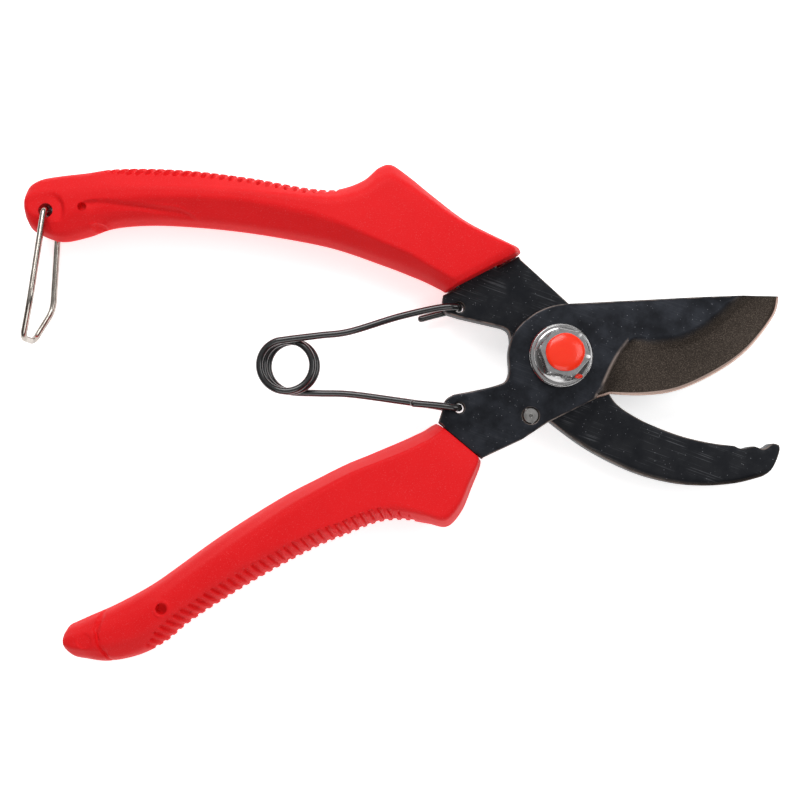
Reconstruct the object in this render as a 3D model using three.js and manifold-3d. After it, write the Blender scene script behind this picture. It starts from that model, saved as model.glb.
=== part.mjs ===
// Bypass pruning shears: two flat forged levers crossing at one bolt, each with a moulded grip,
// pushed apart by a hooked torsion spring and held shut by a swinging wire catch.
// Millimetres, +Z up. The origin is on the pivot axis, on the outer face of the bolt head; +X runs
// towards the blade tips and the two flat levers lie on each other parallel to the XY plane.
import * as THREE from 'three';
import { mergeVertices } from 'three/addons/utils/BufferGeometryUtils.js';
import Module from 'manifold-3d';

const wasm = await Module();
wasm.setup();

// ---- driving dimensions -------------------------------------------------------------------------
const GAP = 0.3;                 // between a grip and the steel inside it
const HEAD_HEIGHT = 3.3;         // pivot bolt head, under the counter blade
const COUNTER_Z = [3.4, 8.4];    // counter blade plate, back and front faces
const CUTTER_Z = [8.6, 13.1];    // cutting blade plate
const MID_Z = 8.5;               // shearing plane, and the middle plane of both grips
const COUNTER_TANG_Z = [4.9, 8.4];
const CUTTER_TANG_Z = [8.6, 12.1];
const SPRING_HOLE_R = 1.25;
const COUNTER_SPRING_HOLE = [-24.8, 12.7];
const CUTTER_SPRING_HOLE = [-25.1, -12.9];

const NECK_SQUARE = 7.4;         // bolt's square neck, across the flats
const SHANK_R = 4.0;
const THREAD_R = 3.5;
const RUNNING_FIT = 0.06;
const SEATING_GAP = 0.1;
const BOLT_TOP = 20.3;
const WASHER = { inner: 4.1, outer: 7.9, low: 13.2, high: 14.4, chamfer: 0.35 };
const NUT = { low: 14.5, flangeR: 6.85, flangeEdge: 15.2, acrossFlats: 11, high: 20.6, turn: 13 };
const LACQUER = { r: 4.75, low: 20.75, rise: 1.15 };

const RIVET = { x: -7.5, y: -14.8, r: 1.87, low: 3.9, high: 13.25 };

const BEVEL = { stepZ: 12.6, edgeZ: 8.9, clearZ: 14.5 };

const CATCH_HINGE = [-127.8, 36.3];
const CATCH_HOLE_R = 1.8;
const CATCH_WIRE_R = 0.8;
const CATCH_LEG_Z = 6.0;         // leg centre from the middle plane, at the hinge
const CATCH_KINK_Z = 9.0;        // at the kink, where the loop is widest
const CATCH_FOOT_Z = 4.0;        // at the crossbar
const CATCH_KINK = [-129.7, 13.3];
const CATCH_FOOT = [-132.9, 4.5];

const SPRING_WIRE_R = 0.875;
const COIL = { x: -68.5, y: -2.2, r: 6.35, turns: 2.5, frontZ: 11.1, rearZ: 6.0, lean: 0.9 };

const RIB_BITE = 0.55;           // depth of the grooves between the finger ribs
const RIB_GROOVE_R = 0.7;

// ---- helpers ------------------------------------------------------------------------------------
const vec2 = ([x, y]) => new THREE.Vector2(x, y);
const vec3 = ([x, y, z]) => new THREE.Vector3(x, y, z);
const mix = (a, b, t) => a + (b - a) * t;

/** A closed geometry as a manifold solid, turned the right way out if its faces point inwards. */
function solid(geometry) {
  const bare = geometry.clone();
  bare.deleteAttribute('normal');
  bare.deleteAttribute('uv');
  const merged = mergeVertices(bare, 1e-5);
  const vertProperties = new Float32Array(merged.attributes.position.array);
  const triVerts = new Uint32Array(merged.index.array);
  const body = new wasm.Manifold(new wasm.Mesh({ numProp: 3, vertProperties, triVerts }));
  if (body.volume() > 0) return body;
  triVerts.reverse();
  return new wasm.Manifold(new wasm.Mesh({ numProp: 3, vertProperties, triVerts }));
}

/** A manifold solid as a geometry. */
function geometryOf(body) {
  const mesh = body.getMesh();
  const geometry = new THREE.BufferGeometry();
  const count = mesh.vertProperties.length / mesh.numProp;
  const points = new Float32Array(count * 3);
  for (let i = 0; i < count; i += 1) {
    for (let k = 0; k < 3; k += 1) {
      points[3 * i + k] = mesh.vertProperties[mesh.numProp * i + k];
    }
  }
  geometry.setAttribute('position', new THREE.BufferAttribute(points, 3));
  geometry.setIndex([...mesh.triVerts]);
  return geometry;
}

function mesh(name, body, colour, roughness, metalness) {
  const geometry = body.isBufferGeometry ? body : geometryOf(body);
  geometry.computeVertexNormals();
  const material = new THREE.MeshStandardMaterial({ color: colour, roughness, metalness });
  const piece = new THREE.Mesh(geometry, material);
  piece.name = name;
  return piece;
}

/** A flat shape made thick between two heights. */
function slab(shape, [low, high], curveSegments = 3) {
  const settings = { depth: high - low, bevelEnabled: false, curveSegments };
  return solid(new THREE.ExtrudeGeometry(shape, settings).translate(0, 0, low));
}

/** A shape that starts at one point and follows runs of points, each run straight or curved. */
function outline(start, ...runs) {
  const shape = new THREE.Shape().moveTo(...start);
  for (const [kind, ...points] of runs) {
    if (kind === 'curve') shape.splineThru(points.map(vec2));
    else points.forEach(([x, y]) => shape.lineTo(x, y));
  }
  return shape;
}

/** A solid of revolution about Z from a closed profile of [radius, height] points. */
function turned(profile, segments = 48) {
  const points = [...profile, profile[0]].map(vec2);
  return solid(new THREE.LatheGeometry(points, segments).rotateX(Math.PI / 2));
}

/** A round bar along Z. */
function bar([x, y], radius, [low, high], sides = 24) {
  const geometry = new THREE.CylinderGeometry(radius, radius, high - low, sides);
  return solid(geometry.rotateX(Math.PI / 2).translate(x, y, (low + high) / 2));
}

/** A round wire along a curve, with flat ends. */
function wire(path, radius, steps, sides = 10) {
  const section = new THREE.Shape().absarc(0, 0, radius, 0, 2 * Math.PI);
  const settings = { extrudePath: path, steps, curveSegments: sides, bevelEnabled: false };
  return solid(new THREE.ExtrudeGeometry(section, settings));
}

/** A closed skin over equal rings of points, each end shut by a fan to the ring's middle. */
function loft(rings) {
  const size = rings[0].length;
  const points = rings.flat();
  const faces = [];
  for (let i = 0; i + 1 < rings.length; i += 1) {
    for (let j = 0; j < size; j += 1) {
      const next = (j + 1) % size;
      const [a, b] = [i * size + j, i * size + next];
      faces.push(a, b, b + size, a, b + size, a + size);
    }
  }
  for (const end of [0, rings.length - 1]) {
    const middle = new THREE.Vector3();
    rings[end].forEach((p) => middle.addScaledVector(p, 1 / size));
    points.push(middle);
    for (let j = 0; j < size; j += 1) {
      const [a, b] = [end * size + j, end * size + (j + 1) % size];
      faces.push(points.length - 1, ...(end === 0 ? [b, a] : [a, b]));
    }
  }
  const geometry = new THREE.BufferGeometry().setFromPoints(points);
  geometry.setIndex(faces);
  return solid(geometry);
}

/** A strip of varying half width along a middle line, as a flat shape. */
function strip(middle, halfWidths, extra = 0, samples = 12) {
  const line = new THREE.SplineCurve(middle.map(vec2));
  const widths = new THREE.SplineCurve(halfWidths.map((w, i) => new THREE.Vector2(i, w)));
  const sides = [[], []];
  for (let i = 0; i <= samples; i += 1) {
    const t = i / samples;
    const p = line.getPoint(t);
    const along = line.getTangent(t);
    const half = widths.getPoint(t).y + extra;
    if (i === 0) p.addScaledVector(along, -extra);
    if (i === samples) p.addScaledVector(along, extra);
    sides[0].push(new THREE.Vector2(p.x - along.y * half, p.y + along.x * half));
    sides[1].unshift(new THREE.Vector2(p.x + along.y * half, p.y - along.x * half));
  }
  return new THREE.Shape([...sides[0], ...sides[1]]);
}

// ---- steel levers -------------------------------------------------------------------------------
const COUNTER_TANG = {
  middle: [[-16.5, 20.2], [-32, 26.5], [-60, 35.2], [-95, 40.4], [-118, 38.9], [-130.6, 36.6]],
  half: [5.6, 5.2, 4.2, 4.2, 4.2, 3.2],
};
const CUTTER_TANG = {
  middle: [[-23.5, -19.6], [-33, -27.5], [-55, -36.3], [-76, -48.0], [-98, -62.8], [-114.5, -69.0]],
  half: [5.2, 5.4, 4.4, 4.2, 4.0, 2.6],
};

/** All that lies behind a grip's mouth, less the gap: a lever's plate stops short of it. */
function behindMouth([innerX, innerY, outerX, outerY]) {
  const reach = 30;
  const inner = new THREE.Vector2(innerX, innerY);
  const along = new THREE.Vector2(outerX, outerY).sub(inner).normalize();
  const back = new THREE.Vector2(along.y, -along.x);
  if (back.dot(inner) < 0) back.negate();
  const corner = (side, depth) => inner.clone().addScaledVector(along, side).addScaledVector(back, depth);
  const shape = new THREE.Shape([
    corner(-reach, -GAP), corner(2 * reach, -GAP), corner(2 * reach, reach), corner(-reach, reach),
  ]);
  return slab(shape, [0, 2 * MID_Z]);
}

function counterBlade() {
  const plate = outline(
    [-10.6, 27.6],
    ['line', [-9.1, 24.9], [2.9, 13.7]],
    ['curve', [8.8, 9.0], [12.0, 2.4], [11.6, -4.6], [12.8, -9.1]],
    ['curve', [14.9, -11.9], [20.2, -15.4], [26.0, -18.0], [31.5, -19.9], [38.2, -21.4],
      [43.9, -22.1]],
    ['curve', [45.6, -22.8], [48.6, -22.2], [51.1, -22.8], [53.4, -21.5], [55.0, -21.9]],
    ['curve', [55.2, -22.9], [53.1, -27.9], [50.7, -29.7]],
    ['curve', [43.9, -31.4], [35.1, -32.0], [27.7, -31.2], [18.9, -28.7], [7.3, -22.9],
      [-2.0, -16.1], [-4.9, -13.7]],
    ['curve', [-9.7, -7.4], [-12.2, -1.0], [-11.9, 4.0], [-12.5, 6.8], [-14.5, 7.9]],
    ['line', [-24.8, 10.3], [-27.7, 11.2]],
    ['curve', [-28.9, 12.6], [-28.3, 18.2]],
  );
  return slab(plate, COUNTER_Z)
    .subtract(behindMouth(COUNTER_GRIP[0]))
    .add(slab(strip(COUNTER_TANG.middle, COUNTER_TANG.half), COUNTER_TANG_Z))
    .subtract(slab(squareShape(NECK_SQUARE / 2 + SEATING_GAP), [0, MID_Z]))
    .subtract(bar(COUNTER_SPRING_HOLE, SPRING_HOLE_R, [0, MID_Z], 16))
    .subtract(bar(CATCH_HINGE, CATCH_HOLE_R + SEATING_GAP, [0, MID_Z], 16));
}

function squareShape(half) {
  return new THREE.Shape([[-half, -half], [half, -half], [half, half], [-half, half]].map(vec2));
}

/** What the grinding wheel takes off the cutting blade: from a low step down to the thin edge. */
function bevelWaste() {
  const step = [[8.8, -10.4], [10.0, -8.2], [12.6, -2.6], [14.6, 0.9], [17.9, 4.4], [22.1, 4.6],
    [29.5, 5.6], [34.5, 8.1], [38.2, 10.8], [42.0, 14.5], [48.5, 17.6], [57.0, 18.4]];
  const edge = [[9.4, -11.2], [13.2, -9.6], [18.6, -9.8], [24.2, -9.3], [29.6, -8.3], [34.2, -6.5],
    [40.2, -3.4], [45.0, -0.1], [49.2, 3.8], [52.8, 8.5], [55.4, 12.9], [57.6, 16.0]];
  const beyond = 0.12;
  const rings = step.map(([sx, sy], i) => {
    const [ex, ey] = edge[i];
    const far = [mix(sx, ex, 1 + beyond), mix(sy, ey, 1 + beyond)];
    const farZ = mix(BEVEL.stepZ, BEVEL.edgeZ, 1 + beyond);
    return [
      [sx, sy, BEVEL.stepZ], [...far, farZ], [...far, BEVEL.clearZ], [sx, sy, BEVEL.clearZ],
    ].map(vec3);
  });
  return loft(rings);
}

function cuttingBlade() {
  const plate = outline(
    [-6.3, 10.6],
    ['curve', [-3.8, 11.8], [-1.1, 12.6], [2.2, 13.0]],
    ['line', [35.3, 14.7], [55.4, 15.4]],
    ['curve', [54.7, 11.8], [52.8, 8.5], [47.3, 1.9], [40.2, -3.4], [29.6, -8.3], [21.4, -9.5],
      [12.8, -9.2]],
    ['line', [9.5, -10.2], [-3.3, -16.5], [-9.7, -20.7], [-19.4, -25.2]],
    ['line', [-20.4, -28.0], [-30.6, -18.2]],
    ['curve', [-30.1, -16.2], [-29.3, -13.7], [-28.6, -11.1], [-26.4, -9.6]],
    ['curve', [-15.8, -7.3], [-13.7, -6.3], [-12.8, -4.3], [-12.9, 0.6], [-12.0, 4.6],
      [-10.0, 7.6], [-6.3, 10.6]],
  );
  return slab(plate, CUTTER_Z)
    .subtract(behindMouth(CUTTER_GRIP[0]))
    .add(slab(strip(CUTTER_TANG.middle, CUTTER_TANG.half), CUTTER_TANG_Z))
    .subtract(bar([0, 0], SHANK_R + RUNNING_FIT, [0, BEVEL.clearZ], 48))
    .subtract(bar([RIVET.x, RIVET.y], RIVET.r + SEATING_GAP, [0, BEVEL.clearZ], 24))
    .subtract(bar(CUTTER_SPRING_HOLE, SPRING_HOLE_R, [0, BEVEL.clearZ], 16))
    .subtract(bevelWaste());
}

// ---- moulded grips ------------------------------------------------------------------------------
// Each row is one slice across a grip, from its mouth to its end: a point on the edge that faces
// the other grip, a point on the ribbed back edge, and half the thickness there.
const COUNTER_GRIP = [
  [-28.5, 16.3, -9.4, 26.3, 5.6], [-29.4, 16.9, -9.8, 28.0, 6.4], [-33.9, 19.1, -22.8, 34.7, 7.4],
  [-38.0, 20.8, -31.0, 40.9, 7.9], [-41.5, 22.2, -38.0, 46.6, 8.1], [-44.5, 23.3, -41.9, 49.1, 8.2],
  [-47.5, 24.4, -44.7, 48.4, 8.3], [-51.4, 25.8, -48.6, 45.1, 8.4], [-56.5, 27.4, -55.1, 42.8, 8.4],
  [-62.6, 28.8, -61.5, 43.0, 8.4], [-77.8, 31.4, -77.0, 45.7, 8.3], [-92.0, 32.9, -92.0, 47.6, 7.8],
  [-103.6, 33.3, -104.0, 48.2, 7.1], [-112.5, 32.4, -112.5, 48.0, 6.5],
  [-118.5, 30.3, -118.5, 47.1, 6.1], [-125.0, 29.1, -125.5, 46.3, 5.6],
  [-129.7, 30.6, -130.3, 45.4, 5.3], [-133.2, 33.4, -133.4, 42.7, 4.6],
  [-134.5, 36.6, -134.6, 39.8, 3.0],
];
const CUTTER_GRIP = [
  [-30.7, -16.4, -19.4, -25.9, 6.4], [-31.9, -17.0, -19.6, -27.4, 7.0],
  [-33.8, -18.2, -21.6, -32.4, 7.8], [-35.7, -19.1, -24.3, -38.6, 8.1],
  [-38.5, -20.4, -27.8, -42.3, 8.2], [-42.5, -22.1, -32.6, -41.6, 8.3],
  [-47.5, -24.2, -38.5, -40.7, 8.4], [-53.1, -26.5, -44.6, -41.2, 8.4],
  [-60.5, -30.2, -52.5, -44.2, 8.4], [-68.0, -34.1, -60.0, -47.3, 8.4],
  [-83.8, -44.0, -75.8, -55.8, 8.1], [-99.9, -55.5, -91.7, -66.0, 7.3],
  [-105.2, -58.6, -96.9, -70.3, 6.9], [-110.7, -61.4, -103.5, -73.6, 6.5],
  [-115.6, -63.5, -111.2, -75.1, 6.1], [-119.3, -65.2, -117.0, -74.0, 5.6],
  [-121.6, -67.0, -120.8, -72.3, 4.4], [-122.4, -68.5, -122.3, -70.5, 2.8],
];
// Half of a slice, as [part of the way across, part of the half thickness]: a rounded inner wall, a
// sloped facet, the flat side, then the shoulder that the ribs are cut in.
const GRIP_SECTION = [
  [0, 0.28], [0.02, 0.52], [0.09, 0.72], [0.36, 1], [0.62, 1], [0.78, 0.9], [0.93, 0.66], [0.99, 0.4],
  [1, 0.16],
];
const SLICES_PER_ROW = 2;

/** The slice of a grip at a row number that may lie between two rows. */
function gripSlice(rows, place) {
  const keyed = (x, y) => new THREE.CatmullRomCurve3(rows.map((r) => vec3([r[x], r[y], r[4]])));
  const t = place / (rows.length - 1);
  const inner = keyed(0, 1).getPoint(t);
  const outer = keyed(2, 3).getPoint(t);
  return { inner, outer, half: inner.z };
}

function gripBody(rows) {
  const rings = [];
  for (let i = 0; i <= (rows.length - 1) * SLICES_PER_ROW; i += 1) {
    const { inner, outer, half } = gripSlice(rows, i / SLICES_PER_ROW);
    const point = ([across, up], side) => new THREE.Vector3(
      mix(inner.x, outer.x, across), mix(inner.y, outer.y, across), MID_Z + side * up * half,
    );
    rings.push([
      ...GRIP_SECTION.map((p) => point(p, 1)), ...[...GRIP_SECTION].reverse().map((p) => point(p, -1)),
    ]);
  }
  return loft(rings);
}

/** Upright grooves along a grip's back edge, evenly spaced between two row numbers. */
function ribGrooves(rows, first, last, count, z) {
  let grooves = null;
  for (let i = 0; i < count; i += 1) {
    const { inner, outer } = gripSlice(rows, mix(first, last, i / (count - 1)));
    const out = new THREE.Vector2(outer.x - inner.x, outer.y - inner.y).normalize();
    const reach = RIB_GROOVE_R - RIB_BITE;
    const place = [outer.x + out.x * reach, outer.y + out.y * reach];
    const groove = bar(place, RIB_GROOVE_R, z, 6);
    grooves = grooves ? grooves.add(groove) : groove;
  }
  return grooves;
}

/** The channel that a tang fills, open at the grip's mouth. */
function tangChannel(tang, [low, high]) {
  return slab(strip(tang.middle, tang.half, GAP), [low - GAP, high + GAP]);
}

/** The catch's hinge hole with a wide shallow dish on each side of the grip. */
function catchHole() {
  const [x, y] = CATCH_HINGE;
  const hole = bar(CATCH_HINGE, CATCH_HOLE_R, [-1, 2 * MID_Z + 1], 20);
  const dish = [[0, 4.5], [CATCH_HOLE_R, 4.5], [4.2, 5.7], [4.2, 9], [0, 9]];
  const front = turned(dish, 24).translate([x, y, MID_Z]);
  return hole.add(front).add(front.translate([0, 0, -MID_Z]).mirror([0, 0, 1]).translate([0, 0, MID_Z]));
}

function counterGrip() {
  return gripBody(COUNTER_GRIP)
    .subtract(tangChannel(COUNTER_TANG, COUNTER_TANG_Z))
    .subtract(catchHole())
    .subtract(bar([-118.5, 37.0], 1.1, [MID_Z, 20], 14))
    .subtract(ribGrooves(COUNTER_GRIP, 8.1, 12.9, 26, [3.4, 13.6]));
}

function cutterGrip() {
  const groove = strip([[-112.2, -61.5], [-113.0, -66.0], [-111.4, -71.0], [-109.6, -76.5]],
    [0.6, 0.6, 0.6, 0.6], 0, 8);
  return gripBody(CUTTER_GRIP)
    .subtract(tangChannel(CUTTER_TANG, CUTTER_TANG_Z))
    .subtract(bar([-97.1, -61.5], 1.4, [MID_Z, 20], 16))
    .subtract(slab(groove, [MID_Z + 5.4, 20]))
    .subtract(ribGrooves(CUTTER_GRIP, 6.3, 12.2, 33, [3.0, 14.0]));
}

// ---- pivot --------------------------------------------------------------------------------------
function pivotBolt() {
  const head = turned([[0, 0], [5.6, 0], [7.2, 0.5], [8.0, 1.6], [8.0, HEAD_HEIGHT], [0, HEAD_HEIGHT]]);
  return head
    .add(slab(squareShape(NECK_SQUARE / 2), [HEAD_HEIGHT - 1, MID_Z]))
    .add(bar([0, 0], SHANK_R, [MID_Z - 1, CUTTER_Z[1] - 0.2], 48).intersect(
      slab(squareShape(NECK_SQUARE / 2), [0, MID_Z]).add(bar([0, 0], 6, [MID_Z, 30], 48)),
    ))
    .add(bar([0, 0], THREAD_R, [HEAD_HEIGHT, BOLT_TOP], 32));
}

function frontWasher() {
  const { inner, outer, low, high, chamfer } = WASHER;
  return turned([
    [inner, low], [outer, low], [outer, high - chamfer], [outer - chamfer, high], [inner, high],
  ]);
}

function pivotNut() {
  const { low, flangeR, flangeEdge, acrossFlats, high, turn } = NUT;
  const corner = acrossFlats / Math.sqrt(3);
  const hex = new THREE.Shape();
  for (let i = 0; i < 6; i += 1) {
    const angle = THREE.MathUtils.degToRad(60 * i - 30 + turn);
    const place = [corner * Math.cos(angle), corner * Math.sin(angle)];
    if (i === 0) hex.moveTo(...place);
    else hex.lineTo(...place);
  }
  const rounding = turned([[0, low], [9, low], [9, high - 1.6], [corner - 1.1, high], [0, high]]);
  const flange = turned([[0, low], [flangeR, low], [flangeR, flangeEdge], [4.9, 16.3], [0, 16.3]]);
  return slab(hex, [low, high]).intersect(rounding)
    .add(flange)
    .subtract(bar([0, 0], THREAD_R + SEATING_GAP, [low - 1, high + 1], 32));
}

function nutLacquer() {
  const { r, low, rise } = LACQUER;
  return turned([
    [0, low], [r, low], [r - 0.1, low + 0.35 * rise], [0.75 * r, low + 0.72 * rise],
    [0.4 * r, low + 0.94 * rise], [0, low + rise],
  ], 32);
}

function stopRivet() {
  return bar([RIVET.x, RIVET.y], RIVET.r, [RIVET.low, RIVET.high]);
}

// ---- wires --------------------------------------------------------------------------------------
/** A point on the spring's coil, a part of the way (0 to 1) from its front end to its rear end. */
function coilPoint(part) {
  const angle = Math.PI / 2 + 2 * Math.PI * COIL.turns * part;
  const lean = COIL.lean * COIL.turns * part;
  return new THREE.Vector3(
    COIL.x + lean + COIL.r * Math.cos(angle),
    COIL.y + COIL.r * Math.sin(angle),
    mix(COIL.frontZ, COIL.rearZ, part),
  );
}

function coilRun(from, to, count) {
  return Array.from({ length: count + 1 }, (_, i) => coilPoint(mix(from, to, i / count)));
}

/** The front half: from its hooked tail through the counter blade to the middle of the coil. */
function springFront() {
  const [x, y] = COUNTER_SPRING_HOLE;
  const leg = [
    [x - 9.4, y - 2.0, 2.1], [x - 4.5, y - 0.7, 2.1], [x - 1.1, y, 2.15], [x - 0.2, y, 2.8],
    [x, y, 4.3], [x, y, 7.5], [x - 0.2, y, 8.9], [x - 1.1, y, 9.6], [x - 4.5, y - 0.2, 9.7],
    [x - 14.8, y - 2.5, 10.0],
    [x - 28.2, y - 6.6, 10.6], [x - 34.8, y - 7.4, 10.8],
  ].map(vec3);
  const path = new THREE.CatmullRomCurve3([...leg, ...coilRun(0, 0.493, 14)]);
  return wire(path, SPRING_WIRE_R, 54, 4);
}

/** The rear half: from the middle of the coil to its hooked tail through the cutting blade. */
function springRear() {
  const [x, y] = CUTTER_SPRING_HOLE;
  const leg = [
    [x - 35.0, y + 4.1, 6.2], [x - 28.0, y + 3.9, 6.5], [x - 14.5, y + 2.1, 7.0],
    [x - 4.5, y + 0.6, 7.35], [x - 1.1, y, 7.4], [x - 0.2, y, 8.1], [x, y, 9.5], [x, y, 12.2],
    [x - 0.2, y, 13.6], [x - 1.1, y, 14.3], [x - 4.5, y + 0.4, 14.35], [x - 11.2, y + 1.0, 14.35],
  ].map(vec3);
  const path = new THREE.CatmullRomCurve3([...coilRun(0.507, 1, 14), ...leg]);
  return wire(path, SPRING_WIRE_R, 54, 4);
}

/** The catch: one bent wire whose two ends meet inside the grip's end hole. */
function catchBail() {
  const corners = [
    [...CATCH_HINGE, 0.2], [...CATCH_HINGE, CATCH_LEG_Z], [...CATCH_KINK, CATCH_KINK_Z],
    [...CATCH_FOOT, CATCH_FOOT_Z], [...CATCH_FOOT, -CATCH_FOOT_Z], [...CATCH_KINK, -CATCH_KINK_Z],
    [...CATCH_HINGE, -CATCH_LEG_Z], [...CATCH_HINGE, -0.2],
  ].map(([x, y, z]) => new THREE.Vector3(x, y, MID_Z + z));
  const bend = [0, 1.3, 2.5, 1.9, 1.9, 2.5, 1.3, 0];
  const path = new THREE.CurvePath();
  let from = corners[0];
  for (let i = 1; i + 1 < corners.length; i += 1) {
    const [before, here, after] = corners.slice(i - 1, i + 2);
    const into = here.clone().add(before.clone().sub(here).setLength(bend[i]));
    const out = here.clone().add(after.clone().sub(here).setLength(bend[i]));
    path.add(new THREE.LineCurve3(from, into));
    path.add(new THREE.QuadraticBezierCurve3(into, here, out));
    from = out;
  }
  path.add(new THREE.LineCurve3(from, corners.at(-1)));
  return wire(path, CATCH_WIRE_R, 72, 4);
}

// ---- assembly -----------------------------------------------------------------------------------
const RED = 0xe01e26;
const BLUED = 0x22252b;
const shears = new THREE.Group();
shears.add(
  mesh('counter_blade', counterBlade(), BLUED, 0.45, 0.8),
  mesh('cutting_blade', cuttingBlade(), BLUED, 0.42, 0.8),
  mesh('counter_grip', counterGrip(), RED, 0.45, 0),
  mesh('cutter_grip', cutterGrip(), RED, 0.45, 0),
  mesh('pivot_bolt', pivotBolt(), 0xa9abac, 0.32, 1),
  mesh('front_washer', frontWasher(), 0xbfc2c4, 0.28, 1),
  mesh('pivot_nut', pivotNut(), 0xb4b7ba, 0.28, 1),
  mesh('nut_lacquer', nutLacquer(), 0xff3c23, 0.15, 0),
  mesh('stop_rivet', stopRivet(), 0x777a7d, 0.35, 1),
  mesh('torsion_spring_front_half', springFront(), 0x101113, 0.22, 0.7),
  mesh('torsion_spring_rear_half', springRear(), 0x101113, 0.22, 0.7),
  mesh('catch_bail', catchBail(), 0xb9b4a8, 0.22, 1),
);

export default shears;
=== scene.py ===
"""Bypass pruning shears: the visual model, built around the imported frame.

Lengths are millimetres in the row frame until a mesh is made: the origin is on the pivot axis, +X runs
towards the blade tips and +Z comes out of the nut side. Blender gets metres.
"""

import logging
from dataclasses import dataclass, field
from enum import Enum
from typing import Any, Sequence

import bpy
import numpy as np
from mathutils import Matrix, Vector
from mathutils.geometry import delaunay_2d_cdt

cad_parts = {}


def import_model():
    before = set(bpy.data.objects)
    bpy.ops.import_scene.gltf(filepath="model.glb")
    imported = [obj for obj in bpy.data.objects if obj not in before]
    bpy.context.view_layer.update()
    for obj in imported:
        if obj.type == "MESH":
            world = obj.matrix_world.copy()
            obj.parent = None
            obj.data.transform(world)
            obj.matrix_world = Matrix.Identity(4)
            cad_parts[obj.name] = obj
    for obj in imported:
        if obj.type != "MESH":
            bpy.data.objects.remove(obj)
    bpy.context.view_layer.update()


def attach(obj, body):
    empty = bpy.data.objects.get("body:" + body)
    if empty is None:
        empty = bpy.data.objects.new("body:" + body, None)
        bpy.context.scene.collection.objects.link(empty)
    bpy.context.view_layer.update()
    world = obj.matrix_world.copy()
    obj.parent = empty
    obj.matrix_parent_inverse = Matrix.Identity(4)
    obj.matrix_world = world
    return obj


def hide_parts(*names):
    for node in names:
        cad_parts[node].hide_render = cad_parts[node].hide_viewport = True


LOG = logging.getLogger("shears")
MM = 0.001
MIDDLE = 8.5  # height of the shearing plane, the middle plane of both grips
FAR = 9.0  # mark of a point that is far from the edge in question
CARVED_CREASE = 38  # degrees above which an edge stays sharp on a carved piece


class Run(Enum):
    """How an outline goes on from one point to the next ones."""

    STRAIGHT = "straight"
    CURVED = "curved"


# ---- curves in the plane and in space --------------------------------------------------------------


def curve_at(keys: Sequence, place: np.ndarray) -> np.ndarray:
    """Points on a smooth curve through key rows: a cubic on each span, with three-point slopes.

    A span counts as long as the square root of its chord.

    Args:
        keys: Rows to pass through, of any width.
        place: Where to read the curve, counted in rows from 0.

    Returns:
        One row for each place.
    """
    keys = np.asarray(keys, float)
    steps = np.diff(keys, axis=0)
    spans = np.sqrt(np.linalg.norm(steps, axis=1))
    slopes = steps / spans[:, None]
    inner = (slopes[:-1] * spans[1:, None] + slopes[1:] * spans[:-1, None]) / (
        spans[:-1] + spans[1:]
    )[:, None]
    if len(inner) == 0:
        inner = slopes
    first = 1.5 * slopes[0] - 0.5 * inner[0]
    last = 1.5 * slopes[-1] - 0.5 * inner[-1]
    tangents = np.vstack([first, inner, last]) if len(keys) > 2 else np.vstack([first, last])
    i = np.clip(np.floor(place).astype(int), 0, len(keys) - 2)
    t = (np.asarray(place, float) - i)[:, None]
    span = spans[i][:, None]
    return (
        (2 * t**3 - 3 * t**2 + 1) * keys[i]
        + (t**3 - 2 * t**2 + t) * span * tangents[i]
        + (3 * t**2 - 2 * t**3) * keys[i + 1]
        + (t**3 - t**2) * span * tangents[i + 1]
    )


def swept(keys: Sequence, count: int) -> np.ndarray:
    """The whole smooth curve through key rows, as a number of points."""
    return curve_at(keys, np.linspace(0, len(keys) - 1, count))


def travel(line: np.ndarray) -> np.ndarray:
    """How far along a line each of its points is."""
    return np.concatenate([[0], np.cumsum(np.linalg.norm(np.diff(line, axis=0), axis=1))])


def unit(rows: np.ndarray) -> np.ndarray:
    """The rows, each with length 1."""
    return rows / np.linalg.norm(rows, axis=-1, keepdims=True)


def right_of(line: np.ndarray) -> np.ndarray:
    """The direction square to a line in the plane, on its right, at each of its points."""
    flow = unit(np.gradient(line, axis=0))
    return np.stack([flow[:, 1], -flow[:, 0]], axis=1)


def right_of_loop(loop: np.ndarray) -> np.ndarray:
    """The same for a closed loop; it points outwards if the loop goes anticlockwise."""
    flow = unit(np.roll(loop, -1, axis=0) - np.roll(loop, 1, axis=0))
    return np.stack([flow[:, 1], -flow[:, 0]], axis=1)


def spaced(line: np.ndarray, spacing: float) -> np.ndarray:
    """The line again, with points at even distances along it.

    Args:
        line: Rows of points.
        spacing: The distance wanted; it is changed a little to fit the line's length.

    Returns:
        The new rows, with the line's own first and last points.
    """
    along = travel(line)
    count = max(int(round(along[-1] / spacing)), 1)
    where = np.linspace(0, along[-1], count + 1)
    return np.stack([np.interp(where, along, line[:, k]) for k in range(line.shape[1])], axis=1)


def trace(start: Sequence[float], *runs: tuple, spacing: float = 0.4) -> np.ndarray:
    """An outline that starts at one point and follows runs of points.

    Args:
        start: First point.
        runs: Pairs of a Run and its points; corners are kept between the runs.
        spacing: Distance between the points of the outline.

    Returns:
        The outline's points; a closing copy of the first one is left out.
    """
    parts = [np.array([start], float)]
    for run, points in runs:
        keys = np.vstack([parts[-1][-1], points])
        if run is Run.CURVED:
            parts.append(spaced(swept(keys, 30 * (len(keys) - 1) + 1), spacing)[1:])
        else:
            parts += [spaced(keys[i : i + 2], spacing)[1:] for i in range(len(keys) - 1)]
    loop = np.vstack(parts)
    closes = np.linalg.norm(loop[0] - loop[-1]) < spacing / 4
    return loop[:-1] if closes else loop


def circle(centre: Sequence[float], radius: float, sides: int = 40) -> np.ndarray:
    """A round loop."""
    turn = np.linspace(0, 2 * np.pi, sides, endpoint=False)
    return np.stack([centre[0] + radius * np.cos(turn), centre[1] + radius * np.sin(turn)], axis=1)


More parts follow.
